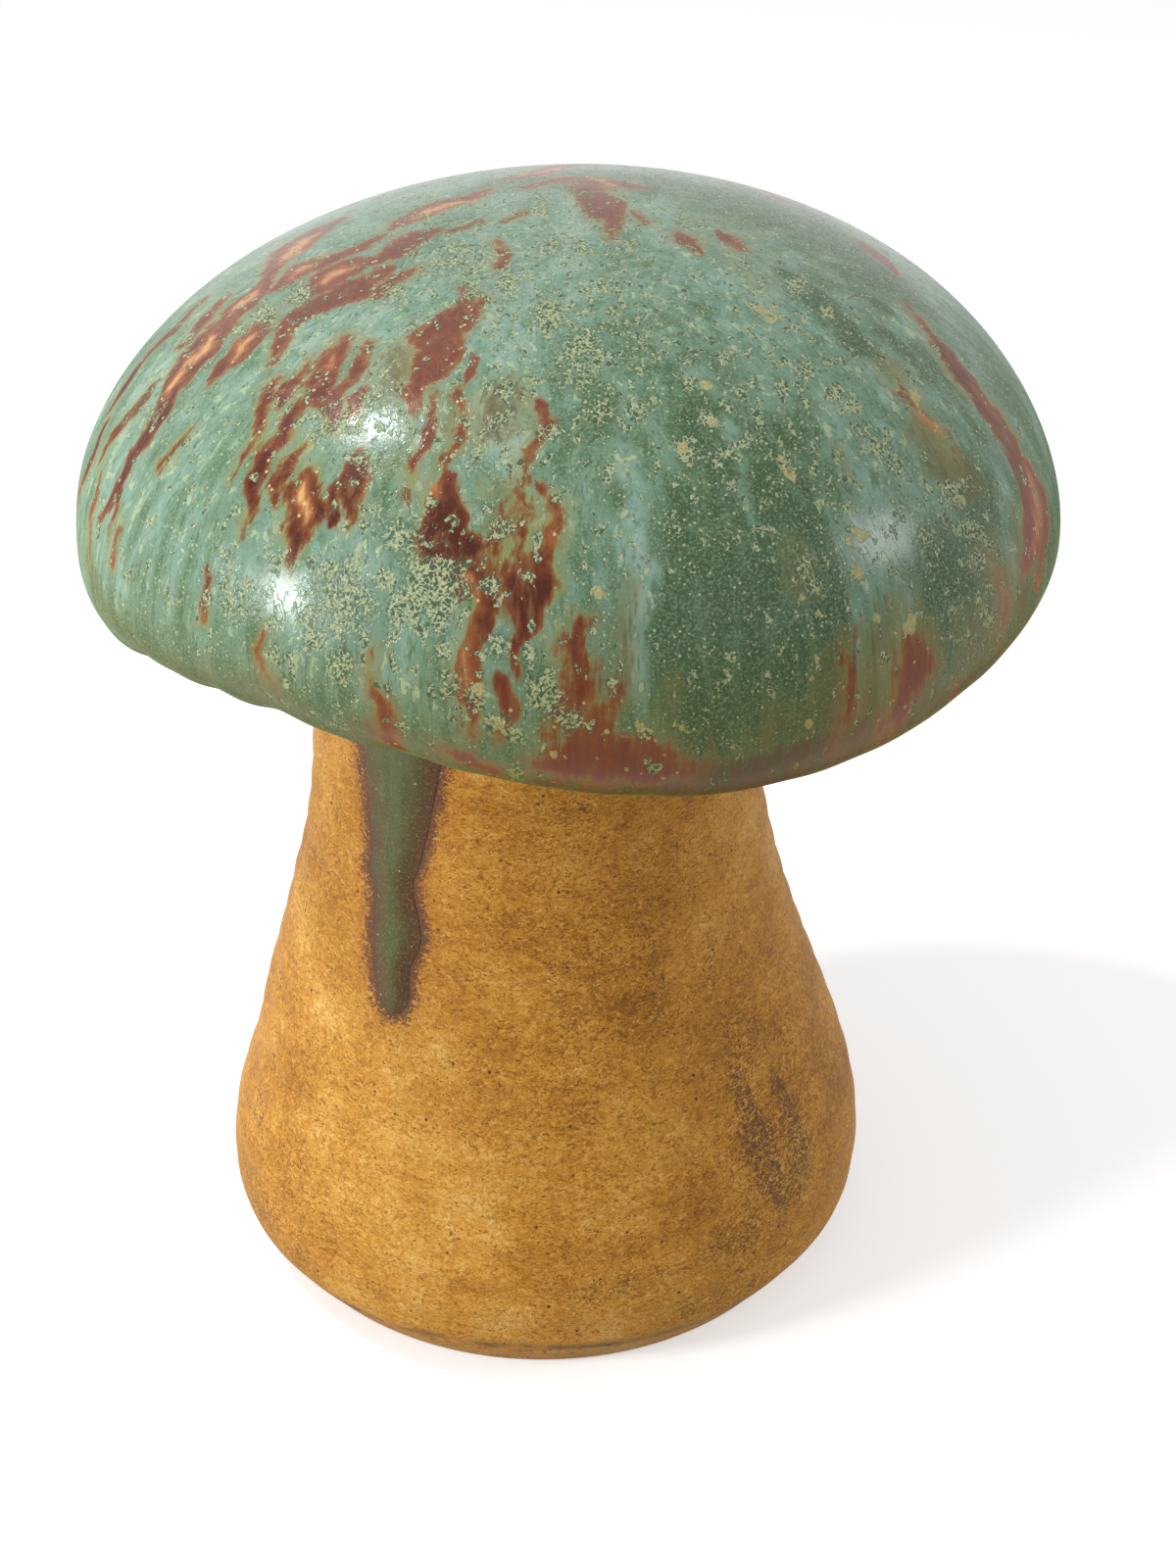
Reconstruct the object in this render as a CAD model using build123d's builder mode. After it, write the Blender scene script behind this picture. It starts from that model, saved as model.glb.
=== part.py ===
"""Two-piece ceramic mushroom ornament: a glazed, domed cap on a flared, hollow stem.

The stem is a thrown stoneware shell, open at the foot and at the neck, with a run of glaze down one side.
The cap is a thrown dome with a rolled lip under a coat of glaze. A collar is luted under its crown: the
collar's shoulder rests on the stem's rim and its spigot drops into the neck, so the cap lifts straight off.

Sizes are in millimetres. +Z is up, the front faces -Y, the origin is on the floor under the cap's middle.
"""

import os
from math import acos, cos, degrees, radians, sin, sqrt

from build123d import *

# Stem, a thrown bell with a trimmed foot, which stands a little left of the cap's middle
stem_x = -6.0
stem_h = 195.0
belly_d = 147.0
belly_z = 18.0
neck_d = 96.0
neck_z = 130.0
belly_pull = 30.0
neck_pull = 55.0
stem_wall = 7.0
foot_tuck = 7.5
bevel_w = 6.5
bevel_h = 9.0
foot_ring_w = 8.0
foot_round = 1.2
rim_round = 1.5

# Cap, a thrown dome with its lip rolled under
cap_d = 200.0
crown_h = 65.0
lip_drop = 16.0
lip_turn = 14.0
cap_wall = 7.0
crown_wall = 9.0
crown_flat_d = 4.0
glaze_t = 1.2

# Collar, luted under the crown
seat_above_belt = 20.0
spigot_h = 22.0
collar_wall = 6.0
collar_play = 1.0
spigot_round = 1.5

# Run of glaze on the front left of the stem
run_azimuth = -35.0
run_top_z = 178.0
run_tip_z = 81.0
run_top_w = 26.0
run_tip_w = 9.0
run_t = 1.2
run_round = 0.8

# Radii and heights that follow from the sizes above
belly_r = belly_d / 2
neck_r = neck_d / 2
bore_r = neck_r - stem_wall
foot_r = belly_r - foot_tuck
foot_bore_r = foot_r - foot_ring_w
spigot_r = bore_r - collar_play
collar_bore_r = spigot_r - collar_wall
cap_r = cap_d / 2
crown_flat_r = crown_flat_d / 2
lip_r = cap_r - lip_turn
belt_z = stem_h - seat_above_belt
clay_r = cap_r - glaze_t
clay_h = crown_h - glaze_t
clay_drop = lip_drop - glaze_t
hollow_r = clay_r - cap_wall
hollow_h = clay_h - crown_wall
hollow_drop = clay_drop - cap_wall

# The stem and the collar are turned about the stem's own axis, the dome and its glaze about the cap's
stem_plane = Plane(origin=(stem_x, 0, 0), x_dir=(1, 0, 0), z_dir=(0, -1, 0))
stem_axis = Axis((stem_x, 0, 0), (0, 0, 1))
cap_plane = Plane.XZ
cap_axis = Axis.Z


def stem_flare(belly, neck):
    """Meridian of the stem from the belly up to the neck, upright at both ends."""
    Bezier(
        (belly, belly_z),
        (belly, belly_z + belly_pull),
        (neck, neck_z - neck_pull),
        (neck, neck_z),
    )


def crown_arc(half_width, height, r_from, r_to):
    """Meridian of a dome above the belt: the elliptical arc between two radii."""
    start = degrees(acos(r_from / half_width))
    end = degrees(acos(r_to / half_width))
    EllipticalCenterArc((0, belt_z), half_width, height, start, arc_size=end - start)


def crown_z(half_width, height, r):
    """Height of a dome's surface at a radius."""
    return belt_z + height * sqrt(1 - (r / half_width) ** 2)


def crown_section(outer_r, outer_h, inner_r, inner_h):
    """Section of a dome's shell above the belt, closed by the small flat at its centre."""
    crown_arc(outer_r, outer_h, outer_r, crown_flat_r)
    crown_arc(inner_r, inner_h, inner_r, crown_flat_r)
    outer_z = crown_z(outer_r, outer_h, crown_flat_r)
    inner_z = crown_z(inner_r, inner_h, crown_flat_r)
    Polyline((crown_flat_r, outer_z), (0, outer_z), (0, inner_z), (crown_flat_r, inner_z))


def lip_arc(half_width, drop):
    """Meridian of a dome below the belt: a quarter ellipse that turns in to the lip."""
    EllipticalCenterArc((lip_r, belt_z), half_width - lip_r, drop, 270, arc_size=90)


os.makedirs("parts", exist_ok=True)

# Stem: foot ring, trimmed bevel, belly, flare and neck outside, the same form a wall's thickness inside
with BuildPart() as stem:
    with BuildSketch(stem_plane):
        with BuildLine():
            bevel = Polyline((foot_bore_r, 0), (foot_r, 0), (foot_r + bevel_w, bevel_h))
            Bezier(bevel @ 1, (belly_r, (bevel_h + belly_z) / 2), (belly_r, belly_z))
            stem_flare(belly_r, neck_r)
            Polyline((neck_r, neck_z), (neck_r, stem_h), (bore_r, stem_h), (bore_r, neck_z))
            stem_flare(belly_r - stem_wall, bore_r)
            Bezier(
                (belly_r - stem_wall, belly_z),
                (belly_r - stem_wall, bevel_h),
                (foot_bore_r, 0),
            )
        make_face()
    revolve(axis=stem_axis)
    fillet(stem.edges().group_by(Axis.Z)[-1], rim_round)
    fillet(stem.edges().group_by(Axis.Z)[0], foot_round)

stem.part.label = "stem"
export_step(stem.part, "parts/stem.step")

# Run of glaze: a skin on the stem's side, cut to the outline of a drip that hangs in front of the axis
run_front = Plane(
    origin=(stem_x, 0, 0),
    x_dir=(cos(radians(run_azimuth)), sin(radians(run_azimuth)), 0),
    z_dir=(sin(radians(run_azimuth)), -cos(radians(run_azimuth)), 0),
)
tip_centre_z = run_tip_z + run_tip_w / 2
run_mid_z = (run_top_z + tip_centre_z) / 2

with BuildPart() as glaze_run:
    with BuildSketch(stem_plane):
        with BuildLine():
            stem_flare(belly_r, neck_r)
            Polyline((neck_r, neck_z), (neck_r, stem_h), (neck_r + run_t, stem_h), (neck_r + run_t, neck_z))
            stem_flare(belly_r + run_t, neck_r + run_t)
            Line((belly_r, belly_z), (belly_r + run_t, belly_z))
        make_face()
    revolve(axis=stem_axis)
    with BuildSketch(run_front):
        with BuildLine():
            for side in (-1, 1):
                Bezier(
                    (side * run_top_w / 2, run_top_z),
                    (side * run_top_w / 2, run_mid_z),
                    (side * run_tip_w / 2, run_mid_z),
                    (side * run_tip_w / 2, tip_centre_z),
                )
            CenterArc((0, tip_centre_z), run_tip_w / 2, 180, 180)
            Line((-run_top_w / 2, run_top_z), (run_top_w / 2, run_top_z))
        make_face()
    extrude(amount=belly_d, mode=Mode.INTERSECT)
    proud = glaze_run.edges().filter_by(lambda edge: edge.distance_to(stem.part) > run_t / 2)
    fillet(proud.filter_by(GeomType.BSPLINE), run_round)

glaze_run.part.label = "glaze_run"
export_step(glaze_run.part, "parts/glaze_run.step")

# Cap's clay: a thrown dome with a half-round lip, bare underneath
with BuildPart() as cap_dome:
    with BuildSketch(cap_plane):
        with BuildLine():
            crown_section(clay_r, clay_h, hollow_r, hollow_h)
            lip_arc(clay_r, clay_drop)
            CenterArc((lip_r, belt_z - clay_drop + cap_wall / 2), cap_wall / 2, 90, 180)
            lip_arc(hollow_r, hollow_drop)
        make_face()
    revolve(axis=cap_axis)

cap_dome.part.label = "cap_dome"
export_step(cap_dome.part, "parts/cap_dome.step")

# Cap's glaze: a coat over the dome that ends in a bead under the lip
with BuildPart() as cap_glaze:
    with BuildSketch(cap_plane):
        with BuildLine():
            crown_section(cap_r, crown_h, clay_r, clay_h)
            lip_arc(cap_r, lip_drop)
            CenterArc((lip_r, belt_z - lip_drop + glaze_t / 2), glaze_t / 2, 90, 180)
            lip_arc(clay_r, clay_drop)
        make_face()
    revolve(axis=cap_axis)

cap_glaze.part.label = "cap_glaze"
export_step(cap_glaze.part, "parts/cap_glaze.step")

# Collar: its shoulder seats on the stem's rim and its spigot hangs in the neck. It stands beside the dome's
# axis, so its top is cut to the hollow of the dome and is higher on the side near the crown.
hollow_top_z = crown_z(hollow_r, hollow_h, crown_flat_r)

with BuildPart() as cap_collar:
    with BuildSketch(stem_plane):
        with BuildLine():
            Polyline(
                (collar_bore_r, hollow_top_z),
                (collar_bore_r, stem_h - spigot_h),
                (spigot_r, stem_h - spigot_h),
                (spigot_r, stem_h),
                (neck_r, stem_h),
                (neck_r, hollow_top_z),
                close=True,
            )
        make_face()
    revolve(axis=stem_axis)
    rings = cap_collar.edges().filter_by(GeomType.CIRCLE).group_by(Axis.Z)
    fillet(rings[1].sort_by(SortBy.RADIUS)[-1], rim_round)
    fillet(rings[0], spigot_round)
    with BuildSketch(cap_plane):
        with BuildLine():
            crown_arc(hollow_r, hollow_h, hollow_r, crown_flat_r)
            Polyline(
                (crown_flat_r, hollow_top_z),
                (0, hollow_top_z),
                (0, 0),
                (hollow_r, 0),
                (hollow_r, belt_z),
            )
        make_face()
    revolve(axis=cap_axis, mode=Mode.INTERSECT)

cap_collar.part.label = "cap_collar"
export_step(cap_collar.part, "parts/cap_collar.step")
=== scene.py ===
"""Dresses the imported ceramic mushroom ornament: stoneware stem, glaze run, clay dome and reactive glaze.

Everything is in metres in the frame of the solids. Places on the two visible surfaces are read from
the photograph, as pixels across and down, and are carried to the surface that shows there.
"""
import math

import bpy
import numpy as np
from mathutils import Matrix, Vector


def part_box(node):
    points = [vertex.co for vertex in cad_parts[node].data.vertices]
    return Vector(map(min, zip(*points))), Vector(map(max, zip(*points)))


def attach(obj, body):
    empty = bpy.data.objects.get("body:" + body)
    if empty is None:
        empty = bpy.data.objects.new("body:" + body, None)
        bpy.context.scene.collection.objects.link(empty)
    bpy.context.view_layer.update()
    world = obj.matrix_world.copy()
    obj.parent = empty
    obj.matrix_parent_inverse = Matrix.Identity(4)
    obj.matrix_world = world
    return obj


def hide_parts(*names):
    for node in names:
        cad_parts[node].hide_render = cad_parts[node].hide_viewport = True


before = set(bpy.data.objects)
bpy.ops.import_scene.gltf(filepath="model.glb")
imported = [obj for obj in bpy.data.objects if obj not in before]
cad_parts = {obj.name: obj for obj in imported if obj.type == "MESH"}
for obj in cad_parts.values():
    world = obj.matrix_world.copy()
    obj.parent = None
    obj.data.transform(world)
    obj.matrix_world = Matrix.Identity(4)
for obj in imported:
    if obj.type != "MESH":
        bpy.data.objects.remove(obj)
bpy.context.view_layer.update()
scene = bpy.context.scene
scene.view_settings.view_transform = "Standard"

# Camera: the photograph was taken by hand from about half a metre, looking 30 degrees down at the front.
# A place read from its 1200 by 1600 pixels is found again on the object through this same camera.
photo_wide = 1200
photo_high = 1600
focal_px = 2400
sensor_mm = 36.0
camera_at = np.array((0.0040, -0.4503, 0.3676))
look_down = math.radians(29.96)

camera_data = bpy.data.cameras.new("photo_camera")
camera_data.sensor_fit = "VERTICAL"
camera_data.sensor_height = sensor_mm
camera_data.lens = sensor_mm * focal_px / photo_high
camera = bpy.data.objects.new("photo_camera", camera_data)
camera.location = camera_at
camera.rotation_euler = (math.pi / 2 - look_down, 0, 0)
scene.collection.objects.link(camera)
scene.camera = camera

right_axis = np.array((1.0, 0.0, 0.0))
up_axis = np.array((0.0, math.sin(look_down), math.cos(look_down)))
view_axis = np.array((0.0, math.cos(look_down), -math.sin(look_down)))


def photo_place(points):
    """Pixels across and down where points show, and the metres that one pixel spans there: from the middle
    of the frame, the focal length times the sideways and upward offset over the depth."""
    offset = points - camera_at
    depth = offset @ view_axis
    across = photo_wide / 2 + focal_px * (offset @ right_axis) / depth
    down = photo_high / 2 - focal_px * (offset @ up_axis) / depth
    return across, down, depth / focal_px


# Studio: a pale floor and a soft white surround, with three lamps where the glaze shows their reflections.
# The surround and the floor look white to the eye and in the gloss, and the floor keeps the shadow.
def linear(hex_colour):
    """Linear colour of an sRGB hex value: each channel over 12.92 below 0.04045, else a 2.4 power curve."""
    channels = [int(hex_colour[i:i + 2], 16) / 255 for i in (1, 3, 5)]
    curved = [c / 12.92 if c <= 0.04045 else ((c + 0.055) / 1.055) ** 2.4 for c in channels]
    return (*curved, 1.0)


def add_node(tree, kind, inputs=(), out=0, stops=(), **settings):
    """Adds one node and gives one of its outputs. Inputs are values, hex colours or other nodes' outputs,
    in the order of the sockets or by a socket's name or number. Stops are the places and colours of a ramp,
    and settings the node's other properties."""
    node = tree.nodes.new("ShaderNode" + kind)
    for name, value in settings.items():
        setattr(node, name, value)
    for position, colour in stops[1:-1]:
        node.color_ramp.elements.new(position).color = linear(colour)
    for end in (0, -1):
        if stops:
            node.color_ramp.elements[end].position = stops[end][0]
            node.color_ramp.elements[end].color = linear(stops[end][1])
    for socket, value in inputs.items() if isinstance(inputs, dict) else enumerate(inputs):
        if isinstance(value, bpy.types.NodeSocket):
            tree.links.new(value, node.inputs[socket])
        else:
            node.inputs[socket].default_value = linear(value) if isinstance(value, str) else value
    return node.outputs[out] if len(node.outputs) else None


def bare_tree(holder):
    """Node tree of a material or world, emptied."""
    holder.use_nodes = True
    holder.node_tree.nodes.clear()
    return holder.node_tree


surround_fill = 0.52
surround = bpy.data.worlds.new("white_surround")
scene.world = surround
tree = bare_tree(surround)
ray = add_node(tree, "LightPath").node.outputs
seen = add_node(tree, "Math", {0: ray["Is Camera Ray"], 1: ray["Is Glossy Ray"]}, operation="MAXIMUM")
seen = add_node(tree, "Math", {0: seen, 1: ray["Is Transmission Ray"]}, operation="MAXIMUM")
level = add_node(tree, "MapRange", {"Value": seen, "To Min": surround_fill, "To Max": 1.0})
white = add_node(tree, "Background", {"Color": (1, 1, 1, 1), "Strength": level})
add_node(tree, "OutputWorld", {"Surface": white})

floor_half = 2.5
floor_lift = 0.46
floor_mesh = bpy.data.meshes.new("pale_floor")
floor_corners = ((-1, -1), (1, -1), (1, 1), (-1, 1))
floor_corners = [(x * floor_half, y * floor_half, 0) for x, y in floor_corners]
floor_mesh.from_pydata(floor_corners, [], [(0, 1, 2, 3)])
floor = bpy.data.objects.new("pale_floor", floor_mesh)
scene.collection.objects.link(floor)
floor_paint = bpy.data.materials.new("pale_floor_paint")
floor_mesh.materials.append(floor_paint)
tree = bare_tree(floor_paint)
ray = add_node(tree, "LightPath").node.outputs
seen = add_node(tree, "Math", {0: ray["Is Camera Ray"], 1: ray["Is Glossy Ray"]}, operation="MAXIMUM")
seen = add_node(tree, "Math", {0: seen, 1: ray["Is Transmission Ray"]}, operation="MAXIMUM")
greys = {0: seen, 6: "#a8a8a8", 7: "#e6e6e6"}
shown = add_node(tree, "Mix", greys, out=2, data_type="RGBA")
paint = add_node(tree, "BsdfDiffuse", {"Color": shown})
lift = add_node(tree, "Math", {0: seen, 1: floor_lift}, operation="MULTIPLY")
glow = add_node(tree, "Emission", {"Color": (1, 1, 1, 1), "Strength": lift})
both = add_node(tree, "AddShader", {0: paint, 1: glow})
add_node(tree, "OutputMaterial", {"Surface": both})

# Each lamp: degrees round from the front (left is negative), degrees up, width in metres, watts
lamp_aim = np.array((0.0, 0.0, 0.19))
lamp_distance = 1.3
lamps = {
    "low_window": (-63, 17, 0.30, 11.6),
    "high_window": (-98, 58, 0.12, 6.6),
    "right_window": (79, 24, 0.33, 3.4),
}
for name, (round_deg, up_deg, width, watts) in lamps.items():
    turn = math.radians(round_deg)
    rise = math.radians(up_deg)
    away = np.array((math.sin(turn) * math.cos(rise), -math.cos(turn) * math.cos(rise), math.sin(rise)))
    lamp = bpy.data.lights.new(name, "AREA")
    lamp.shape = "DISK"
    lamp.size = width
    lamp.energy = watts
    lamp_object = bpy.data.objects.new(name, lamp)
    lamp_object.location = lamp_aim + lamp_distance * away
    lamp_object.rotation_euler = (math.pi / 2 - rise, 0, turn)
    scene.collection.objects.link(lamp_object)

# Stem: a bell thrown in coarse stoneware, open at both ends, with a trimmed bevel round the foot. It is
# dipped in an ochre ash glaze that fires satin-matt and felty; the inside stays bare clay.
stem_low, stem_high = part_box("stem")
stem_x = (stem_low.x + stem_high.x) / 2
stem_top = stem_high.z
belly_r = (stem_high.x - stem_low.x) / 2
belly_z = 0.018
neck_r = 0.048
neck_z = 0.130
belly_pull = 0.030
neck_pull = 0.055
stem_wall = 0.007
foot_tuck = 0.0075
foot_r = belly_r - foot_tuck
foot_ring = 0.008
bevel_w = 0.0065
bevel_r = foot_r + bevel_w
bevel_z = 0.009
rim_round = 0.0015


def bezier(controls, count):
    """Points along a Bezier curve: neighbouring controls are blended by the parameter until one is left."""
    step = np.linspace(0, 1, count)[:, None]
    blend = [np.array(c, dtype=float) for c in controls]
    while len(blend) > 1:
        blend = [a * (1 - step) + b * step for a, b in zip(blend[:-1], blend[1:])]
    return blend[0]


def arc(centre, radii, start, end, count):
    """Points along an elliptical arc, between two angles in degrees."""
    angle = np.radians(np.linspace(start, end, count))
    return np.column_stack((centre[0] + radii[0] * np.cos(angle), centre[1] + radii[1] * np.sin(angle)))


def evenly(line, count):
    """Points at even steps of length along a line of (radius, height) points."""
    steps = np.linalg.norm(np.diff(line, axis=0), axis=1)
    length = np.concatenate(([0.0], np.cumsum(steps)))
    at = np.linspace(0, length[-1], count)
    return np.column_stack((np.interp(at, length, line[:, 0]), np.interp(at, length, line[:, 1])))


def smooth(value, low, high):
    """Smooth step: 0 below low, 1 above high, and 3 t squared less 2 t cubed between."""
    t = np.clip((value - low) / (high - low), 0, 1)
    return t * t * (3 - 2 * t)


def bell(value, centre, width):
    """Bell curve round a centre: the exponential of minus the squared offset over the width."""
    return np.exp(-((value - centre) / width) ** 2)


def turned_angles(count):
    """Angles round the axis, closer together at the front, where the photograph shows the surface: an even
    angle less 0.45 times its sine, counted from the front."""
    even = np.linspace(0, 2 * math.pi, count, endpoint=False)
    return even - 0.45 * np.sin(even) - math.pi / 2


def turned_piece(name, rings, poles):
    """Object made of rings of points, one row for each. Neighbouring rings are joined by quads. The rows
    close on themselves, or with poles the first and last ring are single points with a fan of triangles
    each."""
    rows, columns = rings.shape[:2]
    index = np.arange(rows * columns).reshape(rows, columns)
    points = rings.reshape(-1, 3)
    upper = index if not poles else index[:-1]
    lower = np.roll(index, -1, axis=0) if not poles else index[1:]
    faces = np.stack((upper, lower, np.roll(lower, -1, axis=1), np.roll(upper, -1, axis=1)), axis=-1)
    faces = faces.reshape(-1, 4).tolist()
    if poles:
        first, last = len(points), len(points) + 1
        points = np.vstack((points, rings[0].mean(axis=0), rings[-1].mean(axis=0)))
        fan = np.stack((np.full(columns, first), index[0], np.roll(index[0], -1)), axis=-1)
        faces += fan.tolist()
        fan = np.stack((np.full(columns, last), np.roll(index[-1], -1), index[-1]), axis=-1)
        faces += fan.tolist()
    mesh = bpy.data.meshes.new(name)
    mesh.from_pydata(points.tolist(), [], faces)
    mesh.shade_smooth()
    piece = bpy.data.objects.new(name, mesh)
    scene.collection.objects.link(piece)
    return piece


def store(piece, name, values):
    """Keeps one number or one vector for each point of a piece, for its material."""
    kind = "FLOAT" if values.ndim == 1 else "FLOAT_VECTOR"
    spare = len(piece.data.vertices) - len(values)
    values = np.concatenate((values, np.repeat(values[-1:], spare, axis=0)))
    attribute = piece.data.attributes.new(name, kind, "POINT")
    attribute.data.foreach_set("value" if values.ndim == 1 else "vector", values.ravel().astype(np.float32))


# How far the stem's outline stands off its turned section in the photograph, as heights and offsets in mm:
# on the left a thumb's press above the belly and a swelling over it, on the right a slight fullness, and a
# foot that is tucked in on both sides
left_off = [(0, -1.2), (6, -1.0), (10, 0.1), (14, 0.5), (22, -0.2), (30, -0.9), (38, -1.8), (45, -2.1)]
left_off += [(52, -1.4), (58, -0.4), (66, 0.2), (76, 1.0), (88, 1.6), (100, 1.2), (115, 0.8)]
left_off += [(130, 0.5), (150, 0)]
right_off = [(0, -2.4), (5, -2.2), (8, -0.8), (11, 0.4), (28, 0.6), (46, 1.1), (62, 1.2), (78, 0.9)]
right_off += [(96, 0.4), (110, 0)]
mm = 0.001
stem_bow = 0.0010
side_reach = 0.8
ring_step = 0.0085
ring_deep = 0.00012
uneven = 0.00016


def stem_skin(angle, radius, height):
    """Place on the stem: the turned section, bowed 1 mm to the left at mid height, offset on its left and
    right as read above, with faint throwing rings and the slow unevenness of handwork."""
    bow = -stem_bow * np.sin(math.pi * height / stem_top)
    side = np.angle(np.exp(1j * (angle - math.pi)))
    left = mm * bell(side, 0.0, side_reach) * np.interp(height / mm, *zip(*left_off))
    right = mm * bell(math.pi - np.abs(side), 0.0, side_reach) * np.interp(height / mm, *zip(*right_off))
    rings = ring_deep * np.sin(2 * math.pi * height / ring_step + 0.6 * np.sin(angle + 1))
    slow = np.sin(2 * angle + 31 * height) + np.sin(3 * angle - 57 * height + 1)
    slow = slow + np.sin(5 * angle + 83 * height)
    fade = smooth(height, 0.002, 0.02) * smooth(stem_top - height, 0.004, 0.05)
    full = radius + left + right + fade * (rings + uneven * slow)
    return np.stack((stem_x + bow + full * np.cos(angle), full * np.sin(angle), height + 0 * angle), axis=-1)


flare = [(belly_r, belly_z), (belly_r, belly_z + belly_pull), (neck_r, neck_z - neck_pull), (neck_r, neck_z)]
inner_flare = [(r - stem_wall, z) for r, z in flare]
arris = [(bevel_r - 0.0009, bevel_z - 0.0012), (bevel_r - 0.0012, bevel_z), (bevel_r, bevel_z + 0.0006)]
outside = np.vstack((
    bezier([(foot_r - 0.001, 0), (foot_r + 0.0006, 0), (foot_r + 0.0012, 0.0016)], 5),
    bezier(arris, 5),
    bezier([(bevel_r + 0.0002, bevel_z + 0.001), (belly_r, (bevel_z + belly_z) / 2), (belly_r, belly_z)], 20),
    bezier(flare, 60),
    arc((neck_r - rim_round, stem_top - rim_round), (rim_round, rim_round), 0, 90, 8),
))
inside = np.vstack((
    arc((neck_r - stem_wall + rim_round, stem_top - rim_round), (rim_round, rim_round), 90, 180, 8),
    bezier(inner_flare[::-1], 60),
    bezier([inner_flare[0], (belly_r - stem_wall, bevel_z), (foot_r - foot_ring, 0.001)], 20),
    [(foot_r - foot_ring + 0.001, 0)],
))
outside_rows = 165
inside_rows = 48
stem_columns = 440
stem_outside = evenly(outside, outside_rows)
stem_section = np.vstack((stem_outside, evenly(inside, inside_rows)))[::-1]
stem_angles = turned_angles(stem_columns)
stem_rings = stem_skin(stem_angles[None, :], stem_section[:, :1], stem_section[:, 1:])
stem = turned_piece("stoneware_stem", stem_rings, poles=False)
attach(stem, "stem")
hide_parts("stem")

stem_points = stem_rings.reshape(-1, 3)
stem_inside = np.repeat(np.arange(len(stem_section)) < inside_rows - 1, len(stem_angles)).astype(float)
store(stem, "bare", stem_inside)
stem_across, stem_down, stem_pixel = photo_place(stem_points)


def patches(across, down, shown, places):
    """Strength of a set of soft round patches of the photograph on the points that it shows, as the
    greatest of their bell curves. Each patch is its pixel across and down, its radius in pixels and its
    strength."""
    total = np.zeros(len(across))
    for x, y, radius, strength in places:
        total = np.maximum(total, strength * np.exp(-((across - x) ** 2 + (down - y) ** 2) / radius ** 2))
    return total * shown


def facing(rings):
    """How squarely each point of a grid of rings faces the camera: 1 straight on, 0 at the outline."""
    down_step = np.gradient(rings, axis=0)
    round_step = (np.roll(rings, -1, axis=1) - np.roll(rings, 1, axis=1)) / 2
    normal = np.cross(down_step, round_step).reshape(-1, 3)
    sight = camera_at - rings.reshape(-1, 3)
    return np.sum(normal * sight, axis=1) / np.linalg.norm(normal, axis=1) / np.linalg.norm(sight, axis=1)


stem_shown = smooth(facing(stem_rings), 0.0, 0.15) * (1 - stem_inside)

# Purple-brown smudges of ash, each with its strength: paths of pixels across and down, with half widths
smudge_runs = [
    (1.0, [(750, 1095, 8), (762, 1128, 13), (772, 1150, 17), (779, 1180, 19), (788, 1205, 18),
      (797, 1230, 12)]),
    (0.8, [(790, 1095, 6), (804, 1135, 12), (812, 1165, 14), (816, 1195, 14), (808, 1225, 12)]),
    (0.4, [(778, 1120, 14), (792, 1160, 22), (796, 1210, 20), (780, 1245, 14)]),
    (0.35, [(745, 1040, 14), (756, 1090, 22), (790, 1250, 26), (750, 1285, 20)]),
    (0.7, [(728, 1275, 7), (744, 1264, 13), (762, 1262, 13), (776, 1245, 8)]),
    (0.6, [(727, 955, 4), (726, 975, 6), (725, 998, 6)]),
    (0.5, [(768, 1042, 4), (772, 1058, 7), (764, 1090, 6)]),
    (0.5, [(820, 1258, 5), (825, 1270, 5)]),
    (0.5, [(265, 1108, 2), (266, 1130, 5), (265, 1148, 4)]),
    (0.4, [(560, 985, 6), (578, 988, 7)]),
    (0.4, [(572, 832, 9), (600, 828, 10)]),
    (0.5, [(474, 992, 5), (488, 990, 5)]),
    (0.5, [(370, 1103, 5), (384, 1105, 5)]),
    (0.4, [(570, 1015, 8), (582, 1048, 8)]),
    (0.4, [(655, 950, 8), (668, 972, 7), (672, 1035, 8)]),
    (0.4, [(590, 1325, 14), (640, 1312, 10)]),
    (0.4, [(700, 1335, 10), (745, 1320, 10), (778, 1302, 10)]),
    (0.5, [(262, 1218, 5), (272, 1240, 7)]),
    (0.4, [(300, 1280, 7), (325, 1306, 8)]),
]


def stroke_depth(points, path, half):
    """Depth of points inside a stroke: its half width at the nearest place of its path less the distance to
    that place, where the half width changes evenly between the path's points. It is negative outside."""
    deepest = np.full(len(points), -np.inf)
    for start, end, start_half, end_half in zip(path[:-1], path[1:], half[:-1], half[1:]):
        along = end - start
        t = np.clip((points - start) @ along / (along @ along + 1e-12), 0, 1)
        gap = np.linalg.norm(points - start - t[:, None] * along, axis=1)
        deepest = np.maximum(deepest, start_half + t * (end_half - start_half) - gap)
    return deepest


smudge_soft = 9
smudge = np.zeros(len(stem_points))
for strength, run in smudge_runs:
    run = np.array(run, dtype=float)
    depth = stroke_depth(np.column_stack((stem_across, stem_down)), run[:, :2], run[:, 2])
    smudge = np.maximum(smudge, strength * smooth(depth, -smudge_soft, smudge_soft))
store(stem, "smudge", smudge * stem_shown)
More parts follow.
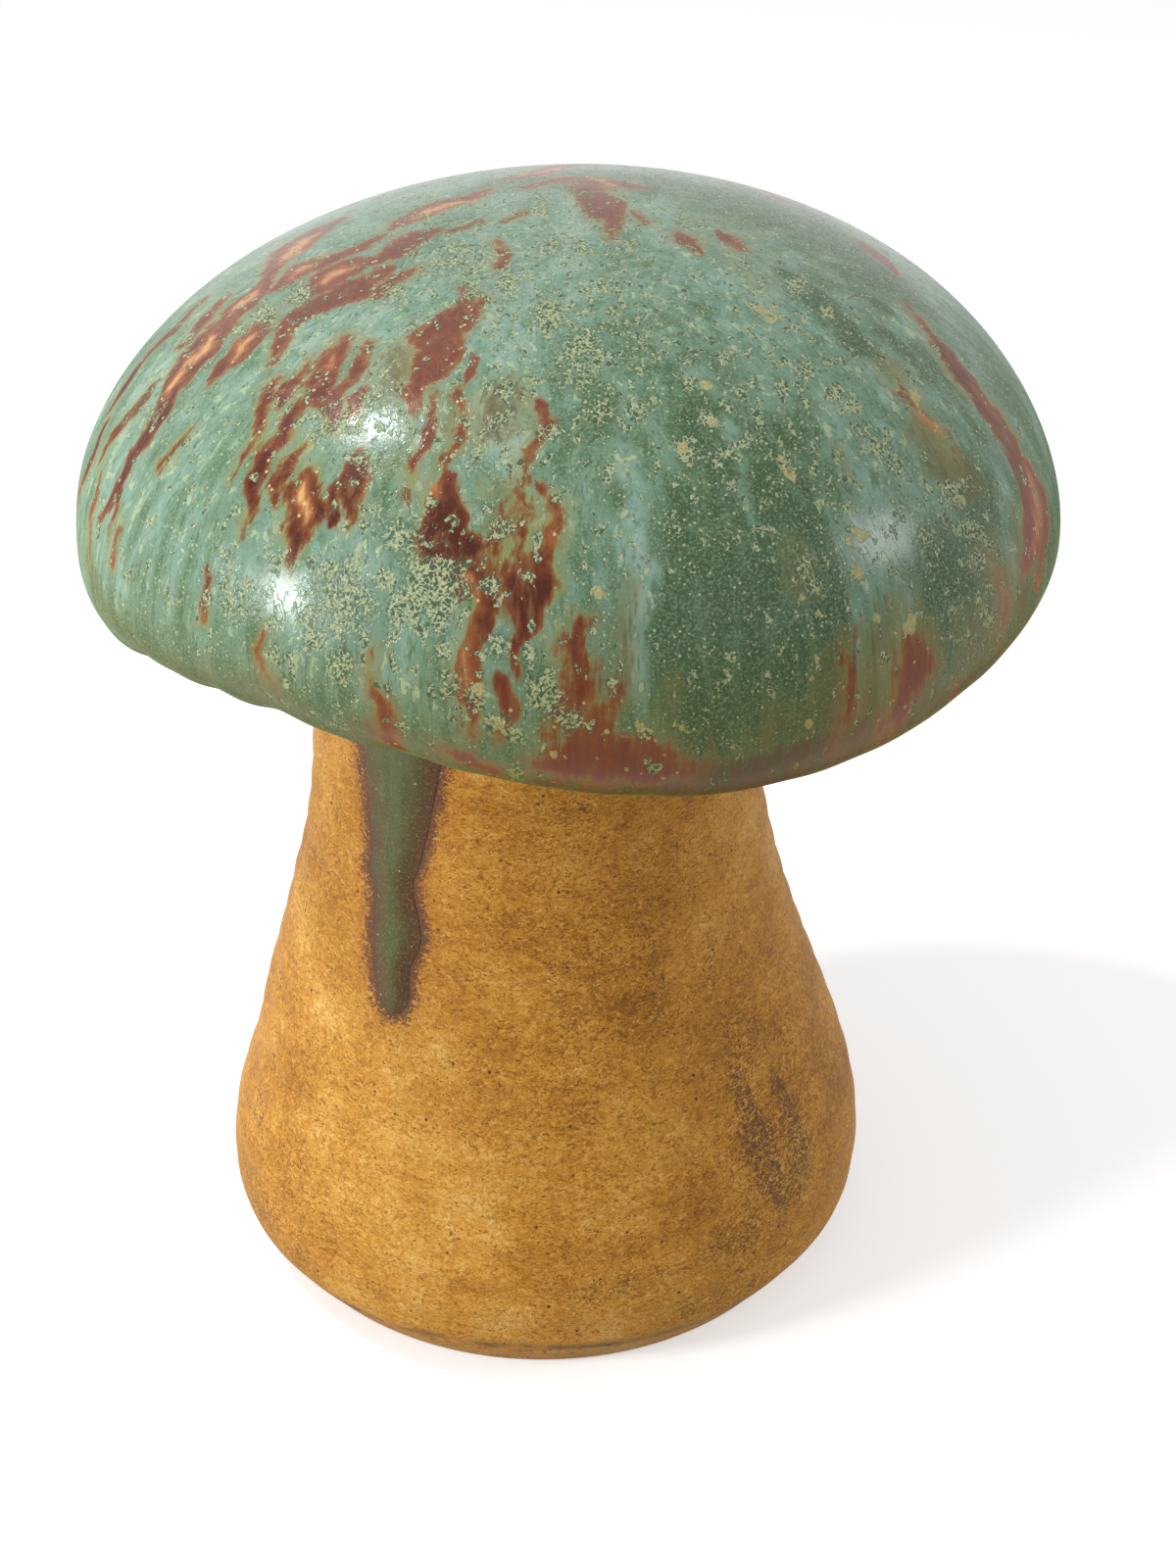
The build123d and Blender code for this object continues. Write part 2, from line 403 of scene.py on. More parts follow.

# Paler rubbed places and browner places, as pixels, radius and strength. The browner places at the stem's
# right edge are painted shade.
pale_places = [
    (345, 1040, 45, 0.9), (400, 1300, 50, 0.9), (370, 1190, 70, 0.7), (300, 900, 40, 0.6),
    (420, 1090, 40, 0.6), (490, 1230, 60, 0.5), (330, 760, 30, 0.6), (650, 1240, 40, 0.4),
    (560, 1330, 60, 0.5), (300, 1000, 40, 0.4), (800, 860, 24, 0.4), (840, 1020, 30, 0.4),
    (700, 1150, 40, 0.3), (400, 1345, 40, 0.7), (480, 1365, 40, 0.6), (610, 1355, 50, 1.2),
    (690, 1345, 40, 0.7), (545, 1378, 40, 0.6), (545, 1350, 45, 0.9), (540, 1240, 60, 0.6),
    (605, 1340, 50, 0.6), (560, 1300, 50, 0.4),
]
brown_and_shaded_places = [
    (560, 960, 60, 0.6), (620, 980, 60, 0.8), (655, 1030, 45, 0.8), (585, 850, 45, 0.5),
    (690, 900, 50, 0.6), (300, 1085, 40, 0.5), (600, 1100, 60, 0.6), (760, 1050, 60, 0.6),
    (740, 1200, 50, 0.5), (520, 1080, 50, 0.4), (440, 960, 25, 0.4), (290, 1200, 40, 0.5),
    (700, 800, 40, 0.6), (780, 960, 40, 0.5), (560, 1270, 50, 0.4), (540, 900, 60, 0.5),
    (640, 910, 50, 0.5), (600, 1040, 50, 0.6), (500, 1000, 40, 0.4), (640, 1290, 50, 0.4),
    (830, 1080, 60, 0.9), (830, 1160, 40, 0.8), (820, 1000, 40, 0.7), (320, 870, 50, 0.6),
    (275, 1000, 40, 0.7), (275, 1240, 50, 0.7),
]
store(stem, "pale", patches(stem_across, stem_down, stem_shown, pale_places))
store(stem, "brown", patches(stem_across, stem_down, stem_shown, brown_and_shaded_places))
stem_height = stem_points[:, 2]
stem_turn = np.arctan2(stem_points[:, 1], stem_points[:, 0] - stem_x)
# Line of the crease above the bevel, where painted shade darkens the stem
crease_wave = 0.7 * np.sin(3 * stem_turn) + 0.5 * np.sin(7 * stem_turn + 1) + 0.3 * np.sin(19 * stem_turn)
crease_z = bevel_z + mm * crease_wave
crease_half = 0.0017
store(stem, "crease", bell(stem_height, crease_z, crease_half) * (1 - stem_inside))

# Outline of the glaze run on the stem, as pixels down and the left and right edge across
run_down = [600, 700, 760, 817, 865, 886, 900, 913, 940, 961, 975, 990, 1018, 1030, 1040]
run_left = [352, 360, 365, 371, 375, 370, 377, 378, 377, 373, 376, 378, 382, 387, 397]
run_right = [482, 468, 460, 450, 440, 434, 427, 428, 434, 437, 431, 423, 424, 420, 409]


def run_edge(down, edge):
    """One edge of the glaze run at pixels down: its read places joined by straight lines, then rounded by a
    bell-weighted mean over a dozen pixels either side."""
    reach = np.linspace(-12, 12, 9)
    weight = bell(reach, 0, 8)
    near = np.interp(np.asarray(down)[..., None] + reach, run_down, edge)
    return near @ weight / weight.sum()


def run_depth(across, down):
    """Pixels from the edge of the glaze run, positive inside it."""
    sides = np.minimum(across - run_edge(down, run_left), run_edge(down, run_right) - across)
    return np.minimum(sides, run_down[-1] - down)


run_inside = np.where(stem_shown > 0.3, run_depth(stem_across, stem_down), -60.0)
run_inside = np.minimum(run_inside * stem_pixel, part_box("glaze_run")[1].z - stem_height)
store(stem, "run", np.clip(run_inside / mm, -12, 12))

# Ash-glazed stoneware: satin-matt ochre with a felt of short brown and cream strands about a millimetre
# long, black pores, and a purple-brown stain where the green run bled into it.
stem_finish = bpy.data.materials.new("ochre_ash_glaze")
stem.data.materials.append(stem_finish)
tree = bare_tree(stem_finish)
place = add_node(tree, "TexCoord", out="Object")
fields = ("pale", "brown", "smudge", "crease", "bare", "run")
fields = [add_node(tree, "Attribute", out="Fac", attribute_name=field) for field in fields]
pale, brown, smudge, crease, bare, run = fields
mottle_grain = {"Vector": place, "Scale": 1 / (14 * mm), "Detail": 4.0, "Roughness": 0.6}
mottle = add_node(tree, "TexNoise", mottle_grain)
squash = add_node(tree, "Mapping", {"Vector": place, "Scale": (1, 1, 1.6)})
felt_grain = {"Vector": squash, "Scale": 1 / (1.6 * mm), "Detail": 4.0, "Roughness": 0.7, "Distortion": 1.2}
felt = add_node(tree, "TexNoise", felt_grain)
fleck_grain = {"Vector": squash, "Scale": 1 / (1.3 * mm), "Detail": 2.0, "Roughness": 0.55, "Distortion": 1.8}
fleck = add_node(tree, "TexNoise", fleck_grain)
turned = add_node(tree, "Mapping", {"Vector": place, "Scale": (0.1, 0.1, 1)})
band = add_node(tree, "TexNoise", {"Vector": turned, "Scale": 1 / (2.6 * mm), "Detail": 2.0})
pores = add_node(tree, "TexVoronoi", {"Vector": place, "Scale": 1 / (6.0 * mm)})

# Ochre body, from the browner places and the painted shade at the right edge to the paler ones
level = -0.22
for pattern, weight in ((mottle, 0.55), (band, 0.11), (felt, 1.05), (pale, 0.11), (brown, -0.10)):
    level = add_node(tree, "Math", (pattern, weight, level), operation="MULTIPLY_ADD")
ochres = [(0.36, "#865010"), (0.52, "#af7521"), (0.64, "#c6892e"), (0.76, "#d59d42"), (0.92, "#e6bc74")]
colour = add_node(tree, "ValToRGB", (level,), stops=ochres)

# Dark strands, thicker on the ground and purple-brown where ash is smudged in
dark = fleck
for pattern, weight in ((smudge, 0.15), (brown, 0.075), (band, -0.06)):
    dark = add_node(tree, "Math", (pattern, weight, dark), operation="MULTIPLY_ADD")
strand = add_node(tree, "MapRange", (dark, 0.535, 0.66, 0, 0.85))
strand_colour = add_node(tree, "Mix", {0: smudge, 6: "#74450f", 7: "#4f3124"}, out=2, data_type="RGBA")
rubbed = add_node(tree, "MapRange", (fleck, 0.39, 0.30, 0, 0.5))
hole = add_node(tree, "MapRange", (pores, 0.075, 0.045, 0, 0.9))
layers = [(strand, strand_colour), (rubbed, "#e8c684"), (hole, "#2a1a0e")]

# Painted shade in the crease above the bevel, broken by the felt
gate = add_node(tree, "MapRange", (mottle, 0.38, 0.62))
crease_shade = add_node(tree, "Math", (crease, gate), operation="MULTIPLY")
crease_shade = add_node(tree, "Math", (crease_shade, felt), operation="MULTIPLY")
crease_shade = add_node(tree, "MapRange", (crease_shade, 0.04, 0.36, 0, 0.9))
layers += [(crease_shade, "#5a3517")]

# Stain round the run: a warm glow, then brown flecks that close up towards the glaze. Inside, bare clay.
fringe = add_node(tree, "Math", (fleck, 9.0, -4.5), operation="MULTIPLY_ADD")
stained = add_node(tree, "Math", (run, fringe), operation="ADD")
glow = add_node(tree, "MapRange", (stained, -4.5, -0.4, 0, 0.55))
stain = add_node(tree, "MapRange", (stained, -1.5, 0.4, 0, 0.95))
clay = add_node(tree, "ValToRGB", (felt,), stops=[(0.3, "#a9865c"), (0.7, "#c7a67c")])
layers += [(glow, "#b06c22"), (stain, "#5e3d2b"), (bare, clay)]
for mask, tint in layers:
    colour = add_node(tree, "Mix", {0: mask, 6: colour, 7: tint}, out=2, data_type="RGBA")
relief = add_node(tree, "Math", (felt, fleck), operation="SUBTRACT")
relief = add_node(tree, "Math", (hole, -0.6, relief), operation="MULTIPLY_ADD")
normal = add_node(tree, "Bump", {"Strength": 0.6, "Distance": 0.35 * mm, "Height": relief}, out="Normal")
dull = add_node(tree, "MapRange", (felt, 0.3, 0.7, 0.5, 0.7))
surface = {"Base Color": colour, "Roughness": dull, "IOR": 1.45, "Specular IOR Level": 0.3, "Normal": normal}
finish = add_node(tree, "BsdfPrincipled", surface)
add_node(tree, "OutputMaterial", {"Surface": finish})

# Glaze run: green glaze that ran off the cap in the kiln and down the stem's front left. It is a low bead
# of glass fused to the ochre, thickest along its middle, with iron-brown edges where it thins.
run_rows = 120
run_columns = 25
run_thick = 0.0012
run_sunk = 0.0004


def stem_under(across, down):
    """Place on the stem that shows at a pixel: halving steps along the line of sight between the camera's
    side and the stem's axis, until the point's distance from the axis equals the stem's radius there."""
    sight = view_axis + ((across - photo_wide / 2) / focal_px)[..., None] * right_axis
    sight = sight - ((down - photo_high / 2) / focal_px)[..., None] * up_axis
    flat = sight[..., :2]
    axis_from = np.array((stem_x, 0.0)) - camera_at[:2]
    far = (flat @ axis_from) / np.sum(flat * flat, axis=-1)
    near = far * 0.6
    for _ in range(40):
        middle = (near + far) / 2
        point = camera_at + middle[..., None] * sight
        angle = np.arctan2(point[..., 1], point[..., 0] - stem_x)
        radius = np.interp(point[..., 2], stem_outside[:, 1], stem_outside[:, 0])
        skin = stem_skin(angle, radius, point[..., 2])
        away = np.hypot(point[..., 0] - stem_x, point[..., 1])
        within = away < np.hypot(skin[..., 0] - stem_x, skin[..., 1])
        far = np.where(within, middle, far)
        near = np.where(within, near, middle)
    return point


run_fringe = 6
drop = np.linspace(run_down[0] + 20, run_down[-1] - run_fringe, run_rows)[:, None]
share = np.linspace(-1, 1, run_columns)[None, :]
left_edge = run_edge(drop, run_left)
right_edge = run_edge(drop, run_right)
half_wide = np.maximum((right_edge - left_edge) / 2 - run_fringe, 3)
across = (left_edge + right_edge) / 2 + share * half_wide
run_base = stem_under(across, drop + 0 * share)
outward = run_base - np.array((stem_x, 0.0, 0.0))
outward[..., 2] = 0.3 * np.linalg.norm(outward[..., :2], axis=-1)
outward = outward / np.linalg.norm(outward, axis=-1)[..., None]
ends = np.sqrt(smooth(run_down[-1] - drop, 0, 45)) * smooth(drop, run_down[0], run_down[0] + 60)
crown = run_thick * (1 - share ** 2) ** 1.5 * ends
crown = crown * (1 + 0.06 * np.sin(drop / 17) + 0.05 * np.sin(drop / 7 + 3 * share))
run_front = run_base + crown[..., None] * outward
run_back = run_base - run_sunk * outward
run_ring = np.concatenate((run_front, run_back[:, ::-1]), axis=1)
glaze_run = turned_piece("green_glaze_run", run_ring, poles=True)
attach(glaze_run, "stem")
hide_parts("glaze_run")
run_points = run_ring.reshape(-1, 3)
run_across, run_low, run_pixel = photo_place(run_points)
run_border = np.interp(run_low, [740, 800, 860, 940, 1030], [14, 13, 11, 11, 7])
run_right_gap = run_edge(run_low, run_right) - run_border - run_across
run_core = np.minimum(run_depth(run_across, run_low), run_right_gap)
run_core = np.minimum(run_core, run_low - drop[0])
store(glaze_run, "edge", np.clip(run_core * run_pixel / mm, -2, 12))

# Green reactive glaze, thin: bottle green in the middle, purple-brown where it thins to nothing and breaks
# into the ochre, with a few cream crystals; glossier than the ash glaze round it.
run_finish = bpy.data.materials.new("thin_green_glaze")
glaze_run.data.materials.append(run_finish)
tree = bare_tree(run_finish)
place = add_node(tree, "TexCoord", out="Object")
edge = add_node(tree, "Attribute", out="Fac", attribute_name="edge")
squash = add_node(tree, "Mapping", {"Vector": place, "Scale": (1, 1, 1.6)})
fleck = add_node(tree, "TexNoise", {**fleck_grain, "Vector": squash})
drawn = add_node(tree, "Mapping", {"Vector": place, "Scale": (1, 1, 0.16)})
streak = add_node(tree, "TexNoise", {"Vector": drawn, "Scale": 1 / (2.2 * mm), "Detail": 3.0})
grit = add_node(tree, "TexNoise", {"Vector": place, "Scale": 1 / (0.5 * mm), "Detail": 2.0})
fringe = add_node(tree, "Math", (fleck, 9.0, -4.5), operation="MULTIPLY_ADD")
depth = add_node(tree, "Math", (edge, fringe), operation="ADD")
depth = add_node(tree, "Math", (streak, 2.4, depth), operation="MULTIPLY_ADD")
depth = add_node(tree, "MapRange", (depth, 0.0, 8.0))
browns = [(0.16, "#5e3d2b"), (0.34, "#5d432c"), (0.48, "#5c4e2f"), (0.62, "#5b5a36"), (0.85, "#596341")]
colour = add_node(tree, "ValToRGB", (depth,), stops=browns)
broken = add_node(tree, "MapRange", (fleck, 0.52, 0.66, 0, 0.45))
shade = add_node(tree, "MapRange", (streak, 0.42, 0.64, 0, 0.6))
shade = add_node(tree, "Math", (shade, depth), operation="MULTIPLY")
dust = add_node(tree, "MapRange", (grit, 0.54, 0.68, 0, 0.6))
grain = add_node(tree, "TexVoronoi", {"Vector": place, "Scale": 1 / (3.6 * mm)})
crystal = add_node(tree, "MapRange", (grain, 0.085, 0.055, 0, 0.8))
for mask, tint in ((broken, "#5f452b"), (shade, "#3f4825"), (dust, "#7b7c52"), (crystal, "#b9b58a")):
    colour = add_node(tree, "Mix", {0: mask, 6: colour, 7: tint}, out=2, data_type="RGBA")
relief = add_node(tree, "Math", (crystal, 0.8, fleck), operation="MULTIPLY_ADD")
relief = add_node(tree, "Math", (grit, 0.5, relief), operation="MULTIPLY_ADD")
normal = add_node(tree, "Bump", {"Strength": 0.45, "Distance": 0.3 * mm, "Height": relief}, out="Normal")
surface = {"Base Color": colour, "Roughness": 0.46, "IOR": 1.5, "Specular IOR Level": 0.15, "Normal": normal}
finish = add_node(tree, "BsdfPrincipled", surface)
add_node(tree, "OutputMaterial", {"Surface": finish})

# Clay dome: the cap's thrown stoneware bowl, turned over, with its lip rolled under. The glaze covers it
# outside; underneath it is bare buff clay with the potter's throwing rings.
glaze_low, glaze_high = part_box("cap_glaze")
dome_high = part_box("cap_dome")[1]
cap_r = (glaze_high.x - glaze_low.x) / 2
lip_drop = 0.016
belt_z = glaze_low.z + lip_drop
crown_h = glaze_high.z - belt_z
lip_turn = 0.014
lip_r = cap_r - lip_turn
glaze_t = glaze_high.z - dome_high.z
cap_wall = 0.007
crown_wall = 0.009
crown_lean = 0.0036
belt_tilt = 0.0098
slack_deep = 0.0007


def cap_skin(angle, radius, height, lean):
    """Place on the cap: the turned section with a wavy lip and slightly slack shoulders, a crown that leans
    3.6 mm to the right and a belt that hangs 1 mm lower there. Lean 0 keeps the hollow upright and true, so
    that it still meets the collar."""
    wave = 1.2 * np.cos(angle) + 0.5 * np.sin(angle) - 3.0 * np.cos(2 * angle) + 1.1 * np.sin(2 * angle)
    wave = wave + 4.2 * np.cos(3 * angle) - 3.2 * np.sin(3 * angle)
    ripple = 0.4 * np.sin(17 * angle + 1) + 0.35 * np.sin(27 * angle + 2) + 0.25 * np.sin(43 * angle)
    wave = wave + ripple * (0.25 + 0.75 * smooth(-np.cos(angle), 0.1, 0.5))
    calm = 1 - 0.7 * smooth(np.sin(angle), 0.1, 0.9)
    low = smooth(belt_z + 0.014 - height, 0.0, 0.030)
    tilt = belt_tilt * lean
    rise = np.clip((height - belt_z) / crown_h, 0, 1)
    shift = crown_lean * lean * rise ** 2 + tilt * (height - belt_z)
    slack = slack_deep * lean * bell(rise, 0.5, 0.3) * smooth(rise, 0.0, 0.3) * smooth(1 - rise, 0.0, 0.1)
    across = (radius - slack) * np.cos(angle)
    deep = (radius - slack) * np.sin(angle)
    return np.stack((across + shift, deep, height - tilt * across + mm * wave * calm * low), axis=-1)


def dome_line(inset, crown_inset, count):
    """Section of the cap at a depth under its glaze, from the crown to the lip: a quarter ellipse down to
    the belt, then a quarter ellipse that turns in to the lip."""
    over = arc((0, belt_z), (cap_r - inset, crown_h - crown_inset), 90, 0, 200)
    under = arc((lip_r, belt_z), (cap_r - inset - lip_r, lip_drop - inset), 0, -90, 60)
    line = evenly(np.vstack((over, under[1:])), count + 1)
    return line[1:]


dome_columns = 300
dome_angles = turned_angles(dome_columns)
clay_rows = 60
roll_rows = 12
hollow_rows = 90
clay_outside = dome_line(glaze_t, glaze_t, clay_rows)
hollow = dome_line(glaze_t + cap_wall, glaze_t + crown_wall, hollow_rows)[::-1]
lip_middle = (lip_r, (clay_outside[-1, 1] + hollow[0, 1]) / 2)
roll = arc(lip_middle, (cap_wall / 2, cap_wall / 2), -90, -270, roll_rows)
dome_section = np.vstack((clay_outside, roll[1:-1], hollow))
upright = smooth(np.linspace(1, 0, hollow_rows), 0.2, 1.0)
dome_lean = np.concatenate((np.ones(clay_rows + roll_rows - 2), upright))
dome_r = dome_section[:, 0]
throwing_step = 0.0065
throwing_deep = 0.00018
throwing = np.sin(2 * math.pi * dome_r / throwing_step) * throwing_deep
throwing[:clay_rows + roll_rows] = 0
dome_section[:, 1] += throwing * smooth(dome_r, 0.055, 0.065) * smooth(0.088 - dome_r, 0, 0.01)
dome_rings = cap_skin(dome_angles[None, :], dome_section[:, :1], dome_section[:, 1:], dome_lean[:, None])
dome = turned_piece("clay_dome", dome_rings, poles=True)
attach(dome, "cap")
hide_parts("cap_dome")

# Bare stoneware: matt buff clay, sandy, with iron specks that burnt through in the kiln.
clay_finish = bpy.data.materials.new("bare_buff_stoneware")
dome.data.materials.append(clay_finish)
tree = bare_tree(clay_finish)
place = add_node(tree, "TexCoord", out="Object")
blush = add_node(tree, "TexNoise", {"Vector": place, "Scale": 1 / (22 * mm), "Detail": 3.0})
sand = add_node(tree, "TexNoise", {"Vector": place, "Scale": 1 / (0.9 * mm), "Detail": 4.0, "Roughness": 0.7})
iron = add_node(tree, "TexVoronoi", {"Vector": place, "Scale": 1 / (3.4 * mm)})
level = add_node(tree, "Math", (sand, 0.45, blush), operation="MULTIPLY_ADD")
buffs = [(0.5, "#a27c52"), (0.72, "#bd9768"), (0.95, "#d3b387")]
colour = add_node(tree, "ValToRGB", (level,), stops=buffs)
speck = add_node(tree, "MapRange", (iron, 0.13, 0.08, 0, 0.8))
colour = add_node(tree, "Mix", {0: speck, 6: colour, 7: "#4c3220"}, out=2, data_type="RGBA")
normal = add_node(tree, "Bump", {"Strength": 0.5, "Distance": 0.3 * mm, "Height": sand}, out="Normal")
surface = {"Base Color": colour, "Roughness": 0.88, "Specular IOR Level": 0.3, "Normal": normal}
finish = add_node(tree, "BsdfPrincipled", surface)
add_node(tree, "OutputMaterial", {"Surface": finish})

# Cap's glaze: a coat about a millimetre thick, poured over the dome and run down its sides in the kiln.
# Iron broke through it in rust-red runs, and pale crystals grew where it pooled.
coat_rows = 148
coat_columns = 560
glaze_angles = turned_angles(coat_columns)
glaze_outside = dome_line(0.0, 0.0, coat_rows)
bead = arc((lip_r, glaze_outside[-1, 1] + glaze_t / 2), (glaze_t / 2, glaze_t / 2), -90, -270, 7)
glaze_section = np.vstack((glaze_outside, bead[1:-1], dome_line(glaze_t, glaze_t, 12)[::-1]))
glaze_rings = cap_skin(glaze_angles[None, :], glaze_section[:, :1], glaze_section[:, 1:], 1.0)
glaze_facing = facing(glaze_rings[:coat_rows])
glaze = turned_piece("reactive_glaze_coat", glaze_rings, poles=True)
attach(glaze, "cap")
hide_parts("cap_glaze")

coat_points = glaze_rings[:coat_rows].reshape(-1, 3)
coat_across, coat_down, coat_pixel = photo_place(coat_points)
coat_shown = smooth(glaze_facing, -0.05, 0.1)


def coat_under(run):
    """Path of a run on the coat and its half widths in metres, from pixels across and down with half widths
    in pixels: the nearest points that face the camera, and what the pixels span there, which is more where
    the coat is seen at a slant."""
    hidden = np.where(glaze_facing > 0.03, 0.0, 1e6)
    found = [np.argmin((coat_across - x) ** 2 + (coat_down - y) ** 2 + hidden) for x, y, _ in run]
    pixel = coat_pixel[found] / np.maximum(glaze_facing[found], 0.45)
    return coat_points[found], pixel * np.array([half for _, _, half in run])


# Runs of glaze sway as they go down: up to about a millimetre round the axis, by the length down the slope
coat_turn = np.arctan2(coat_points[:, 1], coat_points[:, 0])
row_length = np.linalg.norm(glaze_outside[1] - glaze_outside[0])
coat_length = np.repeat(np.arange(coat_rows) * row_length, len(glaze_angles))
sway = 0.0008 * np.sin(coat_length / 0.0026 + 7 * coat_turn)
sway = sway + 0.0003 * np.sin(coat_length / 0.0011 + 13 * coat_turn)
swayed = coat_points + sway[:, None] * np.stack((-np.sin(coat_turn), np.cos(coat_turn), 0 * sway), axis=-1)

# Rust runs, from left to right: each place is a pixel across and down with the run's half width in pixels
rust_runs = [
    [(345, 226, 5), (318, 240, 11), (300, 254, 13), (283, 272, 7), (272, 284, 3)],
    [(350, 258, 5), (322, 272, 9), (300, 280, 9), (282, 292, 4)],
    [(380, 266, 5), (358, 272, 10), (336, 284, 12), (316, 296, 7), (300, 306, 3)],
    [(392, 278, 6), (372, 292, 9), (345, 303, 9), (322, 309, 8), (306, 322, 8), (288, 345, 6), (276, 366, 3)],
    [(386, 246, 3), (362, 252, 5), (338, 262, 4)],
    [(280, 280, 3), (262, 295, 7), (243, 313, 8), (225, 332, 4)],
    [(228, 306, 4), (205, 330, 7), (188, 350, 4)],
    [(256, 312, 5), (232, 330, 9), (213, 346, 13), (198, 364, 13), (184, 384, 11), (166, 414, 8),
     (142, 458, 5)],
    [(142, 458, 5), (120, 492, 4), (104, 530, 2)],
    [(276, 326, 4), (262, 340, 8), (246, 354, 9), (230, 370, 7), (216, 390, 3)],
    [(208, 308, 3), (175, 337, 5), (158, 356, 3)],
    [(160, 352, 3), (128, 394, 5), (112, 420, 3)],
    [(150, 402, 4), (118, 442, 5), (104, 470, 3)],
    [(113, 425, 2), (95, 465, 4), (85, 488, 4), (80, 515, 2)],
    [(190, 440, 2), (166, 478, 3)],
    [(125, 540, 2), (114, 578, 3)],
    [(215, 580, 2), (204, 630, 3)],
    [(316, 366, 2), (300, 390, 6), (286, 412, 4)],
    [(354, 350, 5), (336, 366, 10), (325, 385, 11), (332, 406, 7), (340, 425, 3)],
    [(374, 356, 4), (357, 382, 6), (346, 404, 7), (338, 436, 4)],
    [(376, 394, 3), (366, 410, 6), (356, 424, 3)],
    [(281, 386, 4), (272, 415, 6), (259, 444, 5), (246, 470, 3), (238, 490, 1.5)],
    [(326, 404, 5), (304, 416, 6), (288, 438, 7), (276, 456, 8), (265, 484, 8), (254, 515, 6), (248, 545, 2)],
    [(308, 452, 4), (296, 472, 8), (286, 492, 8), (280, 512, 4)],
    [(319, 486, 9), (312, 510, 20), (304, 538, 16), (299, 560, 9), (297, 578, 4)],
    [(362, 466, 8), (365, 484, 13), (362, 505, 13), (356, 522, 7), (351, 540, 2)],
    [(345, 500, 5), (338, 516, 7), (334, 532, 4)],
    [(266, 645, 1.5), (266, 670, 3), (271, 692, 2)],
    [(104, 480, 1.5), (94, 530, 2.5), (92, 575, 1.5)],
    [(130, 470, 1), (116, 520, 2), (112, 556, 1)],
    [(475, 295, 2), (470, 311, 7), (460, 328, 12), (449, 347, 18), (441, 365, 18), (431, 386, 12),
     (424, 416, 5)],
    [(488, 303, 3), (480, 320, 7), (468, 342, 9)],
    [(494, 196, 4), (470, 205, 8), (440, 213, 8), (418, 222, 7), (398, 235, 3)],
    [(446, 236, 4), (420, 246, 9), (396, 258, 7), (378, 268, 3)],
    [(424, 274, 3), (408, 284, 5), (385, 297, 4)],
    [(490, 225, 2), (462, 237, 3)],
    [(508, 248, 2), (511, 260, 3), (513, 274, 3)],
    [(516, 184, 3), (545, 178, 6), (580, 169, 5), (606, 168, 3)],
    [(540, 190, 3), (566, 184, 5), (590, 182, 7), (620, 187, 10), (650, 190, 6)],
    [(596, 192, 7), (614, 207, 11), (622, 222, 7), (623, 242, 2)],
    [(645, 215, 2), (660, 226, 3)],
    [(512, 225, 1.5), (535, 217, 2)],
    [(690, 238, 3), (701, 248, 6), (714, 258, 3)],
    [(735, 235, 2), (746, 244, 4), (756, 255, 2)],
    [(740, 178, 2), (775, 192, 5), (800, 206, 3)],
    [(447, 404, 3), (442, 428, 4), (430, 448, 4), (423, 470, 5), (421, 492, 4), (417, 515, 2)],
    [(482, 368, 2), (474, 398, 3), (474, 422, 4), (466, 446, 4), (456, 470, 5)],
    [(460, 490, 7), (450, 512, 17), (450, 545, 27), (457, 572, 25), (472, 596, 18)],
    [(480, 560, 14), (490, 590, 16), (492, 618, 14), (486, 650, 12), (480, 680, 11), (476, 708, 10)],
    [(476, 708, 10), (480, 732, 6), (487, 754, 2)],
    [(552, 498, 4), (564, 530, 9), (563, 560, 12), (554, 590, 16), (538, 615, 20), (534, 640, 14)],
    [(536, 640, 13), (531, 668, 5), (528, 690, 2)],
    [(549, 408, 3), (554, 430, 6), (547, 450, 6), (540, 472, 4), (537, 496, 3)],
    [(512, 694, 5), (514, 715, 9), (515, 736, 6), (514, 757, 3)],
    [(385, 660, 2), (378, 690, 2), (380, 706, 4), (386, 725, 6), (396, 745, 7), (404, 763, 4)],
    [(463, 768, 5), (480, 777, 8), (500, 786, 5)],
    [(979, 688, 1.5), (969, 714, 2)],
    [(873, 244, 2), (890, 257, 5), (903, 269, 5), (915, 281, 2)],
    [(928, 314, 2), (945, 335, 4), (958, 350, 6), (970, 367, 7), (985, 390, 8), (1000, 408, 9)],
    [(1000, 408, 9), (1015, 425, 9), (1026, 445, 9), (1036, 468, 9), (1047, 492, 9), (1054, 520, 10)],
    [(1054, 520, 10), (1052, 548, 10), (1046, 576, 5)],
    [(1046, 470, 3), (1062, 505, 5), (1067, 530, 5), (1064, 560, 5), (1061, 592, 4)],
]
# Rust runs of the same kind that fade out softly at their sides
soft_rust_runs = [
    [(506, 516, 4), (508, 560, 12), (510, 604, 15)],
    [(528, 508, 4), (530, 560, 15), (526, 612, 18)],
    [(594, 640, 8), (590, 672, 15), (586, 700, 13), (575, 726, 9), (566, 752, 5)],
    [(618, 700, 4), (612, 728, 13), (606, 750, 20), (598, 772, 26)],
    [(556, 782, 6), (580, 782, 18), (612, 778, 25), (642, 780, 25), (672, 786, 17), (700, 788, 6)],
    [(872, 650, 1), (870, 690, 3), (860, 730, 5), (848, 765, 3)],
    [(926, 646, 4), (929, 668, 13), (930, 690, 17), (922, 715, 14), (910, 740, 9), (900, 758, 4)],
    [(1014, 566, 1), (1018, 590, 4), (1024, 612, 3), (1028, 634, 1)],
    [(915, 385, 1), (928, 405, 2), (943, 425, 3), (957, 443, 3), (970, 462, 1)],
]
soft_slope = 0.4


def run_depth_on_coat(runs, points):
    """Depth in metres of points of the coat inside the nearest of some runs, negative outside them."""
    return np.max([stroke_depth(points, *coat_under(run)) for run in runs], axis=0)


soft_rust = soft_slope * run_depth_on_coat(soft_rust_runs, swayed)
rust = np.maximum(run_depth_on_coat(rust_runs, swayed), soft_rust)

